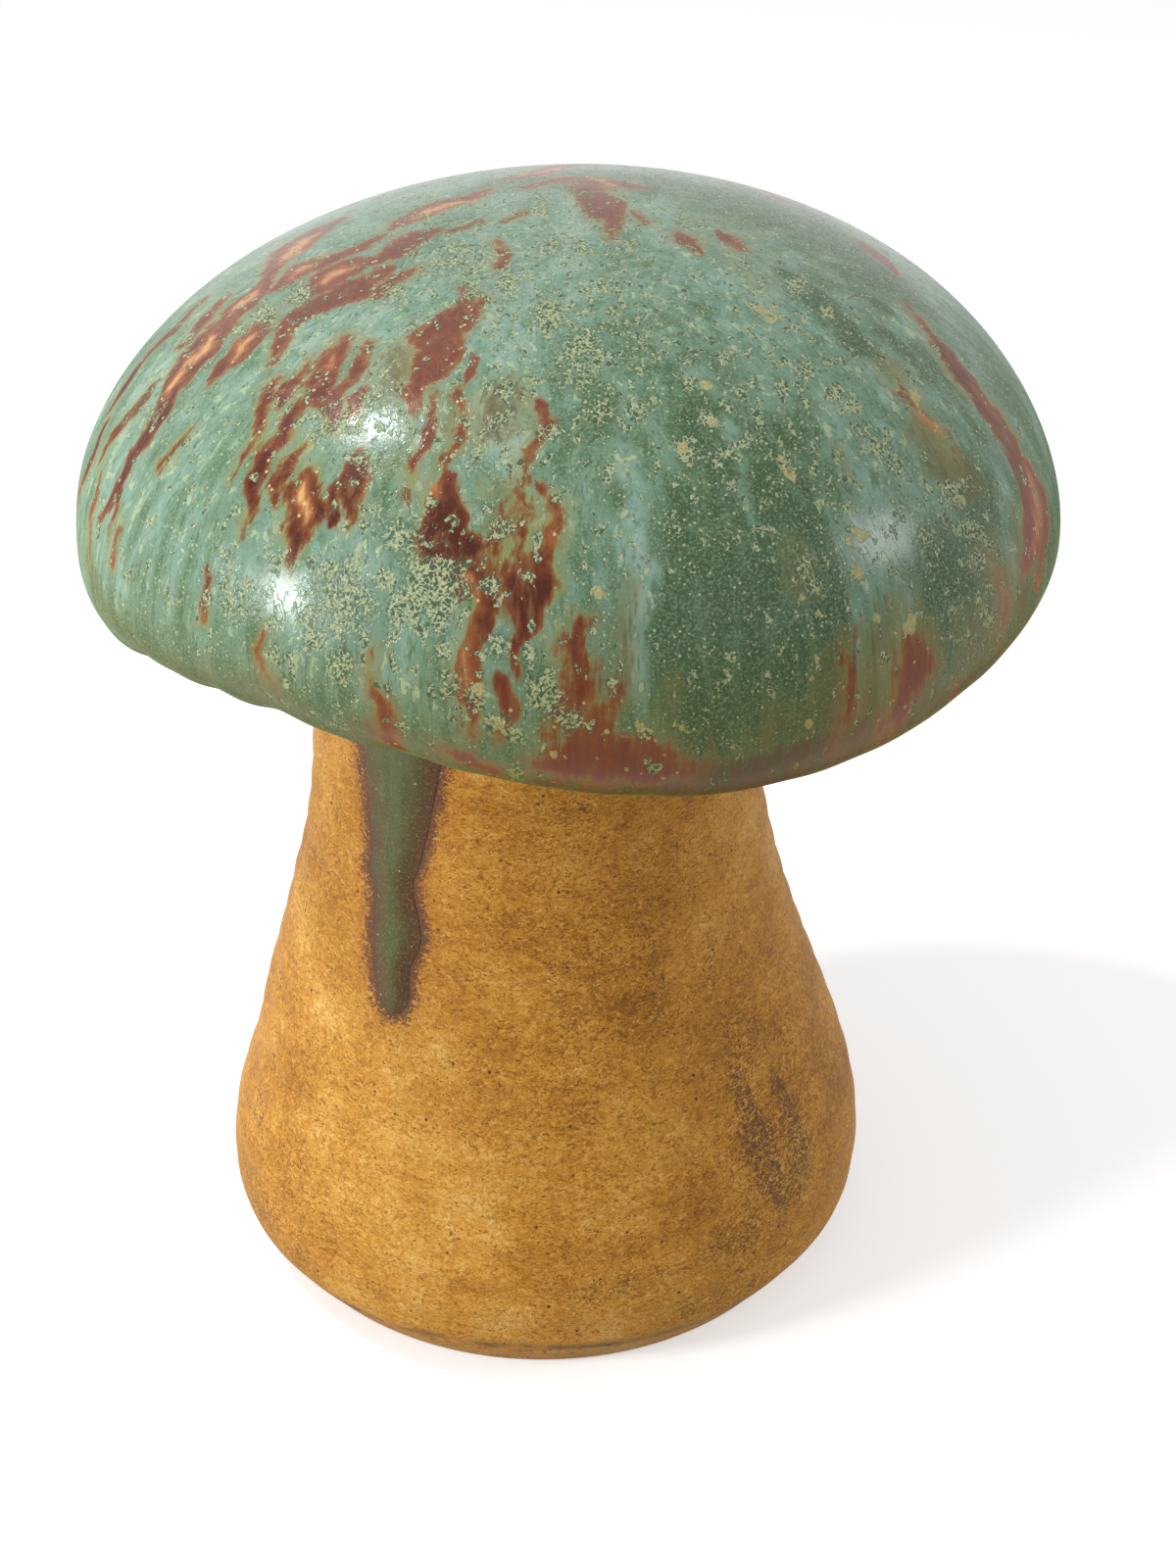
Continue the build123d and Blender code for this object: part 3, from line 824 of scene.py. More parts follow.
# The back, which the photograph doesn't show: runs of the same kinds, in clusters, down the slope
chance = np.random.default_rng(11)
grid = np.arange(len(coat_points)).reshape(coat_rows, -1)
runs_in_cluster = 7
clusters = [(0.35, 60), (0.62, 95), (0.45, 135), (0.75, 35), (0.30, 110), (0.85, 70), (0.80, 120)]
for share, turn in clusters:
    for _ in range(runs_in_cluster):
        row = int(np.clip(coat_rows * (share + chance.normal(0, 0.06)), 20, 130))
        column = np.argmin(np.abs(glaze_angles - math.radians(turn + chance.normal(0, 9))))
        length = chance.integers(6, 24)
        rows = np.linspace(row, min(row + length, coat_rows - 4), 4).astype(int)
        drift = np.cumsum(chance.integers(-2, 3, 4))
        path = coat_points[grid[rows, (column + drift) % len(glaze_angles)]]
        half = chance.uniform(0.6, 2.4) * mm * np.array((0.4, 1.0, 0.8, 0.3))
        if np.all(glaze_facing[grid[rows, column % len(glaze_angles)]] < 0):
            rust = np.maximum(rust, stroke_depth(swayed, path, half))
deep_limit = 8
store(glaze, "rust", np.clip(rust / mm, -deep_limit, deep_limit))

# Amber hearts of the rust, drawn like its runs, and one warm spot among them that is a painted glint
amber_and_glint_runs = [
    [(325, 236, 3), (310, 246, 7), (296, 260, 7), (286, 270, 3)],
    [(322, 270, 3), (308, 277, 5), (296, 285, 3)],
    [(364, 270, 3), (348, 278, 7), (332, 288, 5)],
    [(266, 292, 3), (254, 303, 6), (240, 317, 4)],
    [(216, 344, 5), (205, 356, 7), (196, 368, 6)],
    [(188, 378, 4), (180, 390, 6), (172, 402, 4)],
    [(258, 342, 4), (247, 352, 6), (238, 362, 3)],
    [(315, 494, 4), (312, 512, 9), (308, 532, 6)],
    [(530, 180, 3), (550, 176, 5), (572, 170, 4)],
    [(484, 204, 4), (460, 209, 6), (436, 216, 6), (420, 222, 3)],
    # A painted warm glint, drawn as amber
    [(443, 494, 5), (449, 506, 5)],
    [(484, 586, 5), (481, 602, 8), (486, 622, 5)],
    [(482, 650, 5), (480, 676, 6), (478, 700, 4)],
    [(940, 420, 4), (950, 434, 6), (960, 448, 4)],
    [(1060, 592, 4), (1062, 606, 5)],
    [(562, 524, 4), (566, 556, 5)],
    [(340, 363, 4), (333, 374, 5)],
    [(605, 180, 3), (625, 190, 5)],
    [(1046, 476, 3), (1056, 500, 6), (1060, 530, 6), (1056, 560, 5)],
]
amber = run_depth_on_coat(amber_and_glint_runs, swayed)
store(glaze, "amber", np.clip(amber / mm, -deep_limit, deep_limit))

# Smooth tan lumps, as pixels and radius: each is a run that ends where it starts
lump_places = [
    (797, 466, 6), (800, 476, 6), (808, 490, 4), (868, 556, 9), (880, 545, 8), (873, 584, 8), (838, 602, 5),
    (838, 629, 7), (820, 608, 5), (612, 604, 8), (613, 588, 4), (652, 740, 7), (640, 752, 7), (622, 745, 5),
    (274, 686, 5), (930, 635, 8), (895, 628, 5), (906, 631, 4), (935, 404, 8), (705, 474, 5), (487, 702, 8),
    (513, 710, 3), (513, 731, 3), (497, 740, 6), (510, 741, 6), (654, 705, 4), (706, 643, 3), (700, 743, 4),
    (721, 395, 6), (697, 458, 5), (728, 428, 4), (817, 667, 4), (834, 675, 4), (832, 695, 4), (826, 737, 5),
    (880, 720, 4), (566, 600, 6), (560, 615, 4), (570, 770, 8), (785, 320, 6), (790, 328, 5), (983, 510, 5),
]
lump = run_depth_on_coat([(spot, spot) for spot in lump_places], coat_points)
store(glaze, "lump", np.clip(lump / mm, -deep_limit, deep_limit))

# Mossy patches of crystals, as pixels, radius and strength
moss_places = [
    (305, 300, 18, 0.9), (272, 322, 16, 0.9), (470, 268, 34, 0.7), (485, 232, 14, 0.6), (550, 210, 14, 0.8),
    (560, 322, 19, 1.0), (595, 255, 12, 0.7), (590, 360, 34, 0.7), (595, 390, 9, 0.8), (650, 420, 15, 0.8),
    (700, 465, 14, 0.8), (692, 490, 12, 0.7), (440, 602, 38, 1.0), (500, 598, 12, 0.9), (487, 478, 26, 0.6),
    (510, 542, 18, 0.8), (408, 537, 36, 0.6), (355, 610, 45, 0.8), (553, 707, 20, 1.0), (540, 665, 11, 1.0),
    (508, 660, 16, 1.0), (485, 707, 10, 1.0), (505, 738, 15, 0.9), (582, 735, 16, 1.0), (530, 752, 14, 0.8),
    (653, 745, 12, 0.7), (527, 792, 14, 0.8), (450, 640, 9, 1.0), (452, 665, 10, 1.0), (453, 690, 9, 1.0),
    (453, 706, 7, 1.0), (350, 678, 22, 0.9), (420, 620, 28, 1.0), (970, 625, 15, 0.7), (1008, 628, 16, 0.7),
    (970, 650, 12, 0.6), (1005, 600, 12, 0.6), (872, 586, 9, 0.8), (812, 290, 15, 1.0), (845, 318, 9, 0.9),
    (822, 378, 14, 1.0), (798, 395, 10, 0.9), (850, 400, 12, 0.9), (873, 415, 11, 0.9), (893, 455, 14, 0.8),
    (912, 475, 12, 0.9), (975, 505, 16, 0.9), (990, 540, 14, 1.0), (948, 550, 16, 0.8), (703, 393, 9, 0.9),
    (703, 367, 9, 0.8), (722, 428, 11, 0.9), (745, 418, 7, 0.9), (800, 470, 12, 0.8), (240, 620, 26, 0.6),
    (320, 655, 14, 0.9), (345, 640, 16, 0.8), (480, 300, 20, 0.6), (520, 290, 26, 0.6), (660, 340, 30, 0.5),
    (740, 365, 12, 0.7), (760, 400, 20, 0.6), (230, 560, 20, 0.5), (180, 610, 18, 0.5), (390, 470, 20, 0.5),
    (400, 300, 18, 0.6), (420, 330, 12, 0.6), (560, 440, 18, 0.6), (580, 480, 18, 0.5), (610, 420, 20, 0.7),
    (700, 230, 18, 0.5), (760, 270, 14, 0.6), (620, 290, 24, 0.6), (330, 440, 14, 0.7), (380, 410, 16, 0.6),
    (225, 260, 14, 0.6), (245, 340, 12, 0.7), (190, 340, 14, 0.6), (150, 420, 14, 0.5), (995, 655, 14, 0.5),
    (335, 745, 18, 0.7), (880, 440, 12, 0.8), (1000, 570, 12, 0.9), (820, 590, 30, 0.5),
    (690, 540, 16, 0.5), (505, 430, 14, 0.6), (520, 400, 14, 0.6), (460, 700, 14, 0.6), (640, 250, 14, 0.7),
    (560, 250, 16, 0.7),
]
back_patches = 70
moss = patches(coat_across, coat_down, coat_shown, moss_places)
for _ in range(back_patches):
    row = chance.integers(25, 140)
    centre = coat_points[grid[row, chance.integers(0, len(glaze_angles))]]
    spread = chance.uniform(2.5, 7) * mm
    gap = np.linalg.norm(coat_points - centre, axis=1)
    moss = np.maximum(moss, chance.uniform(0.6, 1.0) * np.exp(-(gap / spread) ** 2) * (1 - coat_shown))
store(glaze, "moss", moss)

# Where chips of crystal are many, as pixels, radius and strength
chip_places = [
    (600, 320, 150, 0.8), (790, 410, 120, 0.9), (965, 560, 70, 0.9), (420, 600, 90, 0.9),
    (300, 650, 80, 0.6), (540, 700, 80, 0.6), (240, 560, 80, 0.4), (450, 270, 70, 0.7), (830, 600, 60, 0.3),
    (700, 460, 60, 0.7), (200, 440, 60, 0.2), (350, 430, 60, 0.6), (800, 300, 60, 0.6),
]
store(glaze, "chippy", patches(coat_across, coat_down, coat_shown, chip_places) + 0.5 * (1 - coat_shown))

# Broad runs of the glaze, each with its strength: dark where it lies thick and bottle green, pale where it
# is milky celadon, olive where iron is dissolved in it. The dark runs along the crown's top edge, the lower
# left lip, the right edge and round the right highlight are painted shade; the pale runs down the left edge
# and round the main highlight are painted highlight and reflection
dark_and_shaded_runs = [
    (1.0, [(704, 410, 12), (718, 480, 22), (722, 560, 36), (722, 650, 48), (722, 720, 42), (720, 760, 30)]),
    (0.9, [(790, 440, 18), (800, 520, 34), (812, 600, 42), (806, 690, 48), (790, 780, 45)]),
    (0.9, [(745, 500, 20), (760, 580, 40), (765, 680, 45)]),
    (0.45, [(606, 395, 10), (616, 450, 20), (625, 505, 14)]),
    (0.9, [(955, 560, 12), (966, 610, 24), (958, 670, 18), (950, 700, 10)]),
    (0.9, [(803, 280, 4), (825, 300, 6), (850, 325, 8), (870, 345, 8), (888, 362, 6), (906, 384, 3)]),
    (0.7, [(830, 263, 3), (873, 290, 5), (906, 317, 3)]),
    (0.7, [(900, 340, 3), (930, 365, 5), (950, 385, 4)]),
    (0.7, [(933, 352, 3), (960, 382, 5), (985, 418, 5), (1000, 440, 4)]),
    (1.3, [(996, 490, 10), (1000, 540, 18), (998, 600, 18)]),
    (0.5, [(330, 700, 10), (345, 740, 24), (352, 758, 18)]),
    (0.5, [(266, 640, 12), (276, 680, 20), (290, 705, 16)]),
    (0.25, [(640, 330, 10), (655, 400, 14), (668, 470, 12)]),
    (0.25, [(700, 330, 14), (720, 380, 20), (740, 430, 20)]),
    (0.5, [(920, 520, 14), (925, 580, 18)]),
    (0.4, [(440, 620, 12), (452, 680, 14), (460, 740, 14)]),
    (0.4, [(560, 690, 14), (566, 740, 18)]),
    (0.4, [(985, 330, 12), (1030, 400, 14), (1058, 470, 12)]),
    (0.4, [(400, 740, 20), (470, 770, 20), (540, 785, 20)]),
    (0.6, [(780, 200, 20), (850, 245, 24), (920, 300, 16)]),
    (0.6, [(500, 190, 10), (640, 182, 20), (700, 195, 24), (760, 215, 20)]),
    (0.7, [(740, 420, 10), (770, 470, 14), (785, 520, 12)]),
    (0.5, [(826, 420, 12), (846, 470, 14), (850, 510, 12)]),
    (1.3, [(1012, 590, 14), (1006, 640, 20), (985, 690, 14)]),
    (0.3, [(590, 470, 14), (600, 510, 16)]),
    (0.25, [(598, 530, 16), (602, 580, 18), (600, 610, 10)]),
    (0.6, [(1072, 440, 8), (1078, 500, 10), (1074, 560, 12), (1050, 620, 16), (1000, 680, 20)]),
    (0.5, [(100, 600, 10), (130, 645, 14), (200, 685, 14), (280, 715, 14)]),
]
pale_and_highlit_runs = [
    (0.55, [(632, 420, 5), (646, 500, 10), (653, 580, 13), (650, 640, 11), (640, 700, 8)]),
    (0.5, [(680, 700, 6), (684, 740, 10), (690, 770, 8)]),
    (0.7, [(505, 420, 12), (520, 450, 14), (528, 480, 10)]),
    (0.4, [(436, 300, 8), (430, 325, 12), (412, 345, 10)]),
    (0.8, [(742, 425, 4), (752, 455, 6), (760, 490, 5), (772, 535, 3)]),
    (0.5, [(836, 410, 6), (850, 445, 9), (868, 485, 10), (868, 520, 8)]),
    (0.4, [(446, 420, 10), (440, 450, 12)]),
    (0.4, [(540, 220, 30), (530, 280, 40), (510, 350, 30), (500, 420, 14)]),
    (0.4, [(330, 310, 18), (310, 350, 16)]),
    (0.35, [(390, 310, 12), (385, 370, 14), (400, 440, 14)]),
    (0.35, [(160, 390, 18), (124, 470, 20), (106, 540, 18), (112, 600, 14)]),
    (0.35, [(345, 535, 14), (370, 580, 24)]),
    (0.3, [(690, 220, 26), (740, 270, 30), (780, 320, 20)]),
    (0.3, [(900, 390, 12), (930, 450, 10)]),
]
olive_runs = [
    (0.9, [(640, 600, 8), (638, 650, 13), (630, 700, 16), (615, 740, 18)]),
    (0.8, [(516, 500, 12), (522, 560, 26), (520, 620, 18)]),
    (0.7, [(905, 630, 14), (900, 680, 24), (880, 740, 30), (850, 770, 26)]),
    (0.45, [(800, 750, 30), (770, 785, 26)]),
    (0.7, [(680, 700, 14), (684, 760, 16)]),
    (1.1, [(560, 798, 8), (640, 802, 14), (700, 802, 16), (760, 798, 18), (830, 773, 18), (900, 748, 16)]),
    (1.0, [(900, 748, 16), (960, 715, 12), (1010, 680, 10), (1050, 630, 8)]),
    (0.7, [(985, 640, 16), (1000, 690, 20)]),
    (0.5, [(815, 560, 14), (822, 590, 20)]),
    (0.9, [(935, 440, 12), (955, 465, 16), (985, 490, 14)]),
    (0.6, [(180, 682, 8), (260, 708, 14), (320, 738, 12)]),
    (0.5, [(88, 570, 6), (96, 600, 8), (112, 630, 10), (145, 662, 10), (180, 680, 10)]),
    (0.6, [(856, 455, 5), (868, 490, 6)]),
    (0.7, [(400, 360, 10), (405, 410, 10)]),
    (0.7, [(470, 400, 8), (452, 470, 10)]),
    (0.8, [(855, 660, 16), (850, 740, 20)]),
    (0.9, [(940, 660, 14), (935, 730, 16)]),
    (0.8, [(1040, 530, 10), (1045, 610, 12)]),
    (0.7, [(370, 745, 12), (440, 772, 14), (490, 790, 14), (560, 798, 12)]),
    (0.7, [(585, 630, 14), (590, 690, 14)]),
    (0.4, [(740, 230, 20), (770, 280, 14)]),
    (0.7, [(505, 440, 14), (520, 400, 18)]),
    (0.6, [(425, 430, 10), (400, 480, 8)]),
]


def run_strength(runs, soft):
    """Strength of broad runs on every point of the coat, the greatest of them, each one softened by a
    smooth step across its edge, over some metres or the run's own half width where that is less."""
    total = np.zeros(len(coat_points))
    for strength, run in runs:
        path, half = coat_under(run)
        edge = min(soft, half.max())
        total = np.maximum(total, strength * smooth(stroke_depth(swayed, path, half), -edge, 0.6 * edge))
    return total


drape = np.sin(3 * coat_turn + 1) + np.sin(7 * coat_turn + 2) + np.sin(13 * coat_turn)
tone_soft = 0.005
olive_soft = 0.004
# Tone: the glaze's own dark and pale, together with painted shade and painted highlight
tone = run_strength(pale_and_highlit_runs, tone_soft) - run_strength(dark_and_shaded_runs, tone_soft)
store(glaze, "tone", tone + 0.22 * drape * (1 - coat_shown))
store(glaze, "olive", run_strength(olive_runs, olive_soft))
store(glaze, "lip", np.repeat(np.arange(coat_rows) / (coat_rows - 1), len(glaze_angles)))

# Direction of the flow: round the axis by distance, held at the belt's size below the shoulder so that
# streaks follow the slope, and down the slope by its length, drawn out six times
flow_stretch = 6.0
coat_radius = cap_r * np.tanh(1.2 * np.hypot(coat_points[:, 0], coat_points[:, 1]) / cap_r)
flow = (coat_radius * np.cos(coat_turn), coat_radius * np.sin(coat_turn), coat_length / flow_stretch)
store(glaze, "flow", np.stack(flow, axis=-1))

# Reactive stoneware glaze: satin gloss over celadon and bottle green that break into streaks down the
# slope, with rust-red iron runs, dark pits, and cream crystals that stand proud of the glass.
glaze_finish = bpy.data.materials.new("green_reactive_glaze")
glaze.data.materials.append(glaze_finish)
tree = bare_tree(glaze_finish)
place = add_node(tree, "TexCoord", out="Object")
sideways = add_node(tree, "SeparateXYZ", {"Vector": place}, out="X")
flow = add_node(tree, "Attribute", out="Vector", attribute_name="flow")
fields = ("rust", "amber", "lump", "moss", "chippy", "tone", "olive", "lip")
fields = [add_node(tree, "Attribute", out="Fac", attribute_name=field) for field in fields]
rust, amber, lump, moss, chippy, tone, olive, lip = fields

# Patterns: streaks that wander a little as they run, and grain that lies every way. Each has its
# coordinates, its size in millimetres, its detail and its roughness.
half_grey = (0.5, 0.5, 0.5)
wander = add_node(tree, "TexNoise", {"Vector": flow, "Scale": 1 / (16 * mm), "Detail": 2.0}, out="Color")
wander = add_node(tree, "VectorMath", (wander, half_grey), operation="SUBTRACT")
flow = add_node(tree, "VectorMath", (wander, (7 * mm, 7 * mm, 0), flow), operation="MULTIPLY_ADD")
drawn = add_node(tree, "Mapping", {"Vector": flow, "Scale": (1, 1, 0.4)})
rows = add_node(tree, "Mapping", {"Vector": flow, "Scale": (1, 1, 3.4)})
wobble = add_node(tree, "TexNoise", {"Vector": place, "Scale": 1 / (0.7 * mm), "Detail": 1.0}, out="Color")
wobble = add_node(tree, "VectorMath", (wobble, half_grey), operation="SUBTRACT")
shaken = add_node(tree, "VectorMath", (wobble, (0.9 * mm,) * 3, place), operation="MULTIPLY_ADD")
patterns = {
    "river": (drawn, 2.6, 3.0, 0.5),
    "comb": (drawn, 1.1, 2.0, 0.5),
    "broad": (flow, 8.0, 3.0, 0.5),
    "fine": (flow, 2.4, 4.0, 0.6),
    "thread": (flow, 0.9, 3.0, 0.6),
    "cloud": (place, 5.0, 4.0, 0.65),
    "grit": (place, 0.4, 2.0, 0.6),
    "powder": (place, 0.5, 2.0, 0.6),
    "worms": (place, 1.3, 1.0, 0.5),
    "chips": (rows, 2.1, 2.0, 0.6),
}
for name, (lie, size, detail, roughness) in patterns.items():
    grain = {"Vector": lie, "Scale": 1 / (size * mm), "Detail": detail, "Roughness": roughness}
    patterns[name] = add_node(tree, "TexNoise", grain)
river, comb, broad, fine, thread, cloud, grit, powder, worms, chips = patterns.values()

# Body of the glaze, with a bluish milk where it is light and long thin rivers everywhere. Its tone holds
# the glaze's own dark and pale runs and also their painted shade and painted highlight
level = -0.62
weights = ((tone, 0.34), (broad, 0.55), (fine, 0.50), (river, 0.50), (thread, 0.32), (grit, 0.20))
for pattern, weight in weights:
    level = add_node(tree, "Math", (pattern, weight, level), operation="MULTIPLY_ADD")
greens = [(0.10, "#3f5a39"), (0.26, "#557153"), (0.40, "#6b8972"), (0.55, "#809b88"), (0.74, "#9aaf9e")]
colour = add_node(tree, "ValToRGB", (level,), stops=greens)
light = add_node(tree, "MapRange", (level, 0.32, 0.46))
milk = add_node(tree, "MapRange", (cloud, 0.48, 0.66, 0, 0.42))
milk = add_node(tree, "Math", (milk, light), operation="MULTIPLY")

# Blisters: short raised worms of paler glass along the flow, each in a darker groove
squeezed = add_node(tree, "Mapping", {"Vector": flow, "Scale": (1, 1, 3.0)})
blister_grain = {"Vector": squeezed, "Scale": 1 / (1.7 * mm), "Detail": 2.0, "Roughness": 0.55}
blister = add_node(tree, "TexNoise", {**blister_grain, "Distortion": 0.5})
where = add_node(tree, "MapRange", (cloud, 0.42, 0.58))
blister = add_node(tree, "Math", (where, 0.06, blister), operation="MULTIPLY_ADD")
groove = add_node(tree, "MapRange", (blister, 0.57, 0.62, 0, 0.6))
groove = add_node(tree, "Math", (groove, light), operation="MULTIPLY")
ridge = add_node(tree, "MapRange", (blister, 0.61, 0.65, 0, 0.85))
ridge = add_node(tree, "Math", (ridge, light), operation="MULTIPLY")
layers = [(milk, "#8bafa4"), (groove, "#577a5f"), (ridge, "#a7b793")]

# Pale dust in the dark glaze: dots of a third of a millimetre, of many sizes, over a fainter powder
dusty = add_node(tree, "MapRange", (level, 0.46, 0.32))
powder = add_node(tree, "MapRange", (powder, 0.47, 0.66, 0, 0.5))
powder = add_node(tree, "Math", (powder, dusty), operation="MULTIPLY")
dots = add_node(tree, "TexVoronoi", {"Vector": place, "Scale": 1 / (0.85 * mm)}).node.outputs
size = add_node(tree, "SeparateColor", {"Color": dots["Color"]})
size = add_node(tree, "MapRange", (size, 0.34, 1.0, 0, 0.36))
dots = add_node(tree, "Math", (size, dots["Distance"]), operation="SUBTRACT")
dots = add_node(tree, "MapRange", (dots, 0.0, 0.08, 0, 0.9))
dust = add_node(tree, "Math", (dots, dusty), operation="MULTIPLY")
layers += [(powder, "#94a488"), (dust, "#b4bd92")]

# Olive where iron is dissolved in it, in streaks, and brown towards the lip
rim = add_node(tree, "MapRange", (lip, 0.87, 0.99))
iron = add_node(tree, "Math", (olive, rim), operation="MAXIMUM")
for pattern, weight in ((broad, 1.0), (fine, 0.9), (thread, 1.0)):
    iron = add_node(tree, "Math", (pattern, weight, iron), operation="MULTIPLY_ADD")
iron = add_node(tree, "MapRange", (iron, 1.60, 2.55, 0, 0.92))
olives = [(0.2, "#7c824a"), (0.5, "#726a34"), (0.88, "#644614")]
olives = add_node(tree, "ValToRGB", (iron,), stops=olives)

# Dark hairlines along the flow, some long and some short
hairline = add_node(tree, "Math", (thread, comb), operation="MAXIMUM")
hairline = add_node(tree, "MapRange", (hairline, 0.58, 0.69, 0, 0.62))
layers += [(iron, olives), (hairline, "#4a6549")]

# Iron runs, drawn out along the flow. Some sides fade out in an olive-tan veil and others end crisply in
# maroon; inside they go from brown to rust in streaks, with amber where iron is thin, one amber spot that is
# a painted warm glint, and cream pearls here and there
inside = -2.95
for pattern, weight in ((fine, 2.2), (comb, 2.0), (thread, 0.8), (cloud, 1.4), (rust, 1.0)):
    inside = add_node(tree, "Math", (pattern, weight, inside), operation="MULTIPLY_ADD")
fade = add_node(tree, "MapRange", (broad, 0.44, 0.58, -0.8, -3.0))
veil = add_node(tree, "MapRange", (inside, fade, 0.2, 0, 0.62))
body = add_node(tree, "MapRange", (inside, -0.55, 0.35))
cover = add_node(tree, "Math", (veil, body), operation="MAXIMUM")
heart = add_node(tree, "MapRange", (inside, -0.4, 1.9, -0.6, 2.9))
ruddy = add_node(tree, "MapRange", (lip, 0.74, 0.92, 0, -0.9))
for pattern, weight in ((cloud, 3.2), (broad, -5.0), (thread, 3.4), (ruddy, 1.0), (river, 4.0)):
    heart = add_node(tree, "Math", (pattern, weight, heart), operation="MULTIPLY_ADD")
heart = add_node(tree, "MapRange", (heart, 2.2, 6.6))
reds = [(0.04, "#868c58"), (0.18, "#7f7040"), (0.32, "#79502b")]
reds += [(0.48, "#6e3a1e"), (0.68, "#602b16"), (0.9, "#4a1d0e")]
reds = add_node(tree, "ValToRGB", (heart,), stops=reds)
worn = add_node(tree, "MapRange", (fine, 0.54, 0.66, 0, 0.4))
melt_and_glint = amber
for pattern, weight in ((fine, 4.0), (thread, 3.0)):
    melt_and_glint = add_node(tree, "Math", (pattern, weight, melt_and_glint), operation="MULTIPLY_ADD")
melt_and_glint = add_node(tree, "MapRange", (melt_and_glint, 2.4, 5.4, 0, 0.9))
ambers = [(0.2, "#96592f"), (0.55, "#b57440"), (0.88, "#d9a86e")]
ambers = add_node(tree, "ValToRGB", (melt_and_glint,), stops=ambers)
earthy = add_node(tree, "MapRange", (lip, 0.70, 0.88, 0, 0.6))
# Pink high on the crown and out at the right edge is painted reflection of the white surround at a slant
glare_pink = add_node(tree, "MapRange", (lip, 0.62, 0.40, 0, 0.4))
side = add_node(tree, "MapRange", (sideways, 0.068, 0.090, 0, 0.6))
glare_pink = add_node(tree, "Math", (glare_pink, side), operation="MAXIMUM")
for mask, tint in ((worn, "#8f6d45"), (melt_and_glint, ambers), (earthy, "#8a4a1c"), (glare_pink, "#94604e")):
    reds = add_node(tree, "Mix", {0: mask, 6: reds, 7: tint}, out=2, data_type="RGBA")
pearls = add_node(tree, "TexVoronoi", {"Vector": place, "Scale": 1 / (3.0 * mm)})
pearls = add_node(tree, "MapRange", (pearls, 0.13, 0.09, 0, 0.85))
pearls = add_node(tree, "Math", (pearls, body), operation="MULTIPLY")
layers += [(cover, reds), (pearls, "#c9b78a")]

# Crystals: granules under a millimetre and winding worms that close up into lichen with dark pits between,
# and chips of the same in rows along the flow, each in a dark rim
grains = add_node(tree, "TexVoronoi", {"Vector": shaken, "Scale": 1 / (0.75 * mm)})
worms = add_node(tree, "Math", (worms, 0.5), operation="SUBTRACT")
worms = add_node(tree, "Math", (worms,), operation="ABSOLUTE")
patch = moss
for pattern, weight in ((cloud, 1.7), (grit, 0.4)):
    patch = add_node(tree, "Math", (pattern, weight, patch), operation="MULTIPLY_ADD")
patch = add_node(tree, "MapRange", (patch, 1.30, 1.80))
for pattern, weight in ((fine, 0.35), (chippy, 0.10)):
    chips = add_node(tree, "Math", (pattern, weight, chips), operation="MULTIPLY_ADD")
moat = add_node(tree, "MapRange", (chips, 0.80, 0.83, 0, 0.4))
isle = add_node(tree, "MapRange", (chips, 0.82, 0.84))
packed = add_node(tree, "Math", (patch, isle), operation="MAXIMUM")
reach = add_node(tree, "Math", (packed, 0.38, 0.10), operation="MULTIPLY_ADD")
granule = add_node(tree, "Math", (reach, grains), operation="SUBTRACT")
reach = add_node(tree, "Math", (packed, 0.40), operation="MULTIPLY")
winding = add_node(tree, "Math", (worms, -7.0, reach), operation="MULTIPLY_ADD")
granule = add_node(tree, "Math", (granule, winding), operation="MAXIMUM")
granule = add_node(tree, "MapRange", (granule, 0.0, 0.12))
pit = add_node(tree, "MapRange", (grains, 0.42, 0.58, 0, 0.95))
pit = add_node(tree, "Math", (pit, packed), operation="MULTIPLY")
pit = add_node(tree, "Math", (pit, moat), operation="MAXIMUM")
creams = [(0.35, "#84906b"), (0.5, "#9ca67e"), (0.65, "#bbc09a")]
creams = add_node(tree, "ValToRGB", (grit,), stops=creams)

# Smooth tan lumps of undissolved glaze, with ragged edges
lump_edge = add_node(tree, "Math", (chips, 5.0, lump), operation="MULTIPLY_ADD")
lump_edge = add_node(tree, "MapRange", (lump_edge, 3.9, 4.2, 0, 0.95))
tans = add_node(tree, "ValToRGB", (grit,), stops=[(0.35, "#938f5f"), (0.65, "#b9b282")])
crystal = add_node(tree, "Math", (granule, lump_edge), operation="MAXIMUM")
layers += [(pit, "#465c44"), (granule, creams), (lump_edge, tans)]
for mask, tint in layers:
    colour = add_node(tree, "Mix", {0: mask, 6: colour, 7: tint}, out=2, data_type="RGBA")

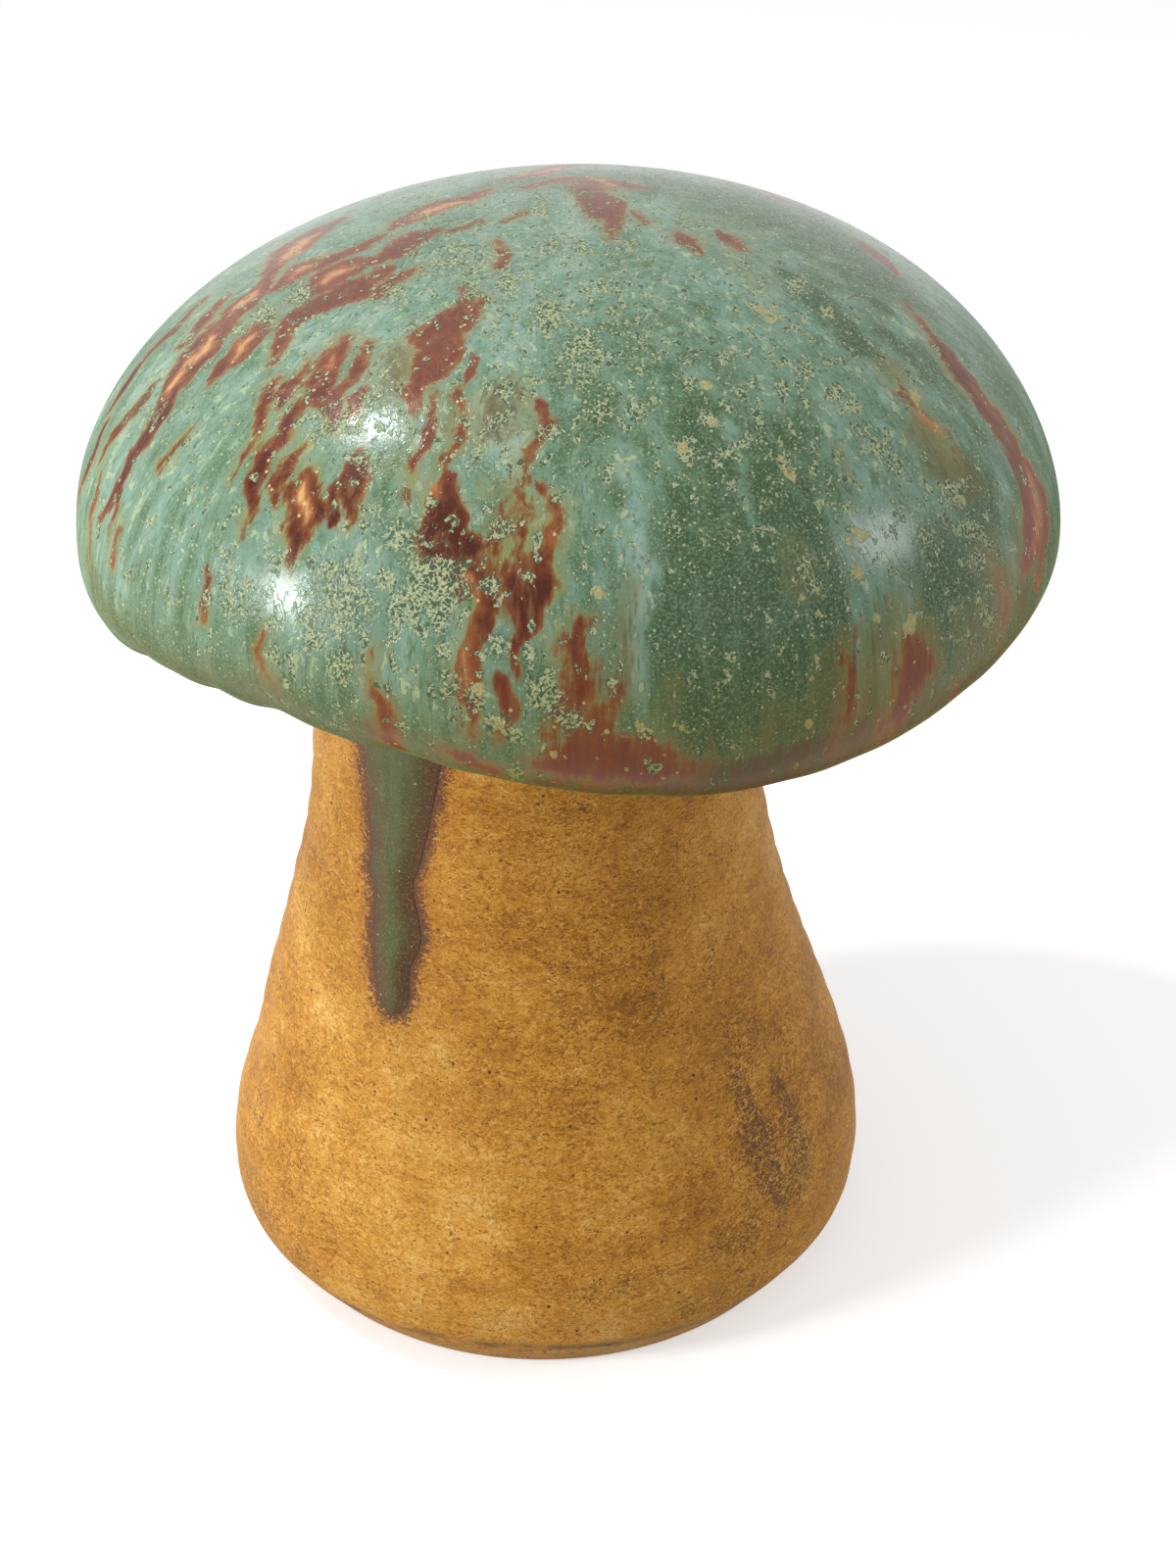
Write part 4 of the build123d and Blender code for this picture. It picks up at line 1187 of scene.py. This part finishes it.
# Warmer towards the lip, where the glaze is rich in iron, and at its very edge thin, where the clay burns
# through brown
warm = add_node(tree, "MapRange", (lip, 0.74, 0.94))
side = add_node(tree, "MapRange", (sideways, -0.06, 0.03, 0.4, 1.0))
warm = add_node(tree, "Math", (warm, side), operation="MULTIPLY")
warmth = {0: warm, 6: colour, 7: "#ffe46a"}
colour = add_node(tree, "Mix", warmth, out=2, data_type="RGBA", blend_type="MULTIPLY")
thin = add_node(tree, "Math", (fine, 0.05, lip), operation="MULTIPLY_ADD")
thin = add_node(tree, "MapRange", (thin, 0.985, 1.015, 0, 0.9))
colour = add_node(tree, "Mix", {0: thin, 6: colour, 7: "#85602c"}, out=2, data_type="RGBA")

# Relief of the streaks, blisters, crystals and pits. The glass is smooth; crystals are duller, and so is
# the lower slope where it turns away
relief = add_node(tree, "Math", (thread, 0.16), operation="MULTIPLY")
heights = ((grit, 0.12), (ridge, 0.5), (groove, -0.4), (crystal, 1.0), (pit, -0.9), (dust, 0.4))
for mask, height in heights:
    relief = add_node(tree, "Math", (mask, height, relief), operation="MULTIPLY_ADD")
normal = add_node(tree, "Bump", {"Strength": 0.5, "Distance": 0.22 * mm, "Height": relief}, out="Normal")
glance = add_node(tree, "LayerWeight", {"Blend": 0.5}, out="Facing")
low = add_node(tree, "MapRange", (lip, 0.42, 0.74))
gloss = add_node(tree, "MapRange", (glance, 0.40, 0.75, 0, 0.5))
gloss = add_node(tree, "Math", (gloss, low, 0.19), operation="MULTIPLY_ADD")
gloss = add_node(tree, "Math", (crystal, 0.26, gloss), operation="MULTIPLY_ADD")
surface = {"Base Color": colour, "Roughness": gloss, "IOR": 1.5, "Specular IOR Level": 0.23, "Normal": normal}
finish = add_node(tree, "BsdfPrincipled", surface)
add_node(tree, "OutputMaterial", {"Surface": finish})

# Collar: a thrown ring of the dome's own clay, luted under the crown. Its shoulder rests on the stem's rim
# and its spigot hangs in the neck; the solid's shape is right, so it only takes the clay's finish.
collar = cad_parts["cap_collar"]
collar.data.materials.clear()
collar.data.materials.append(clay_finish)
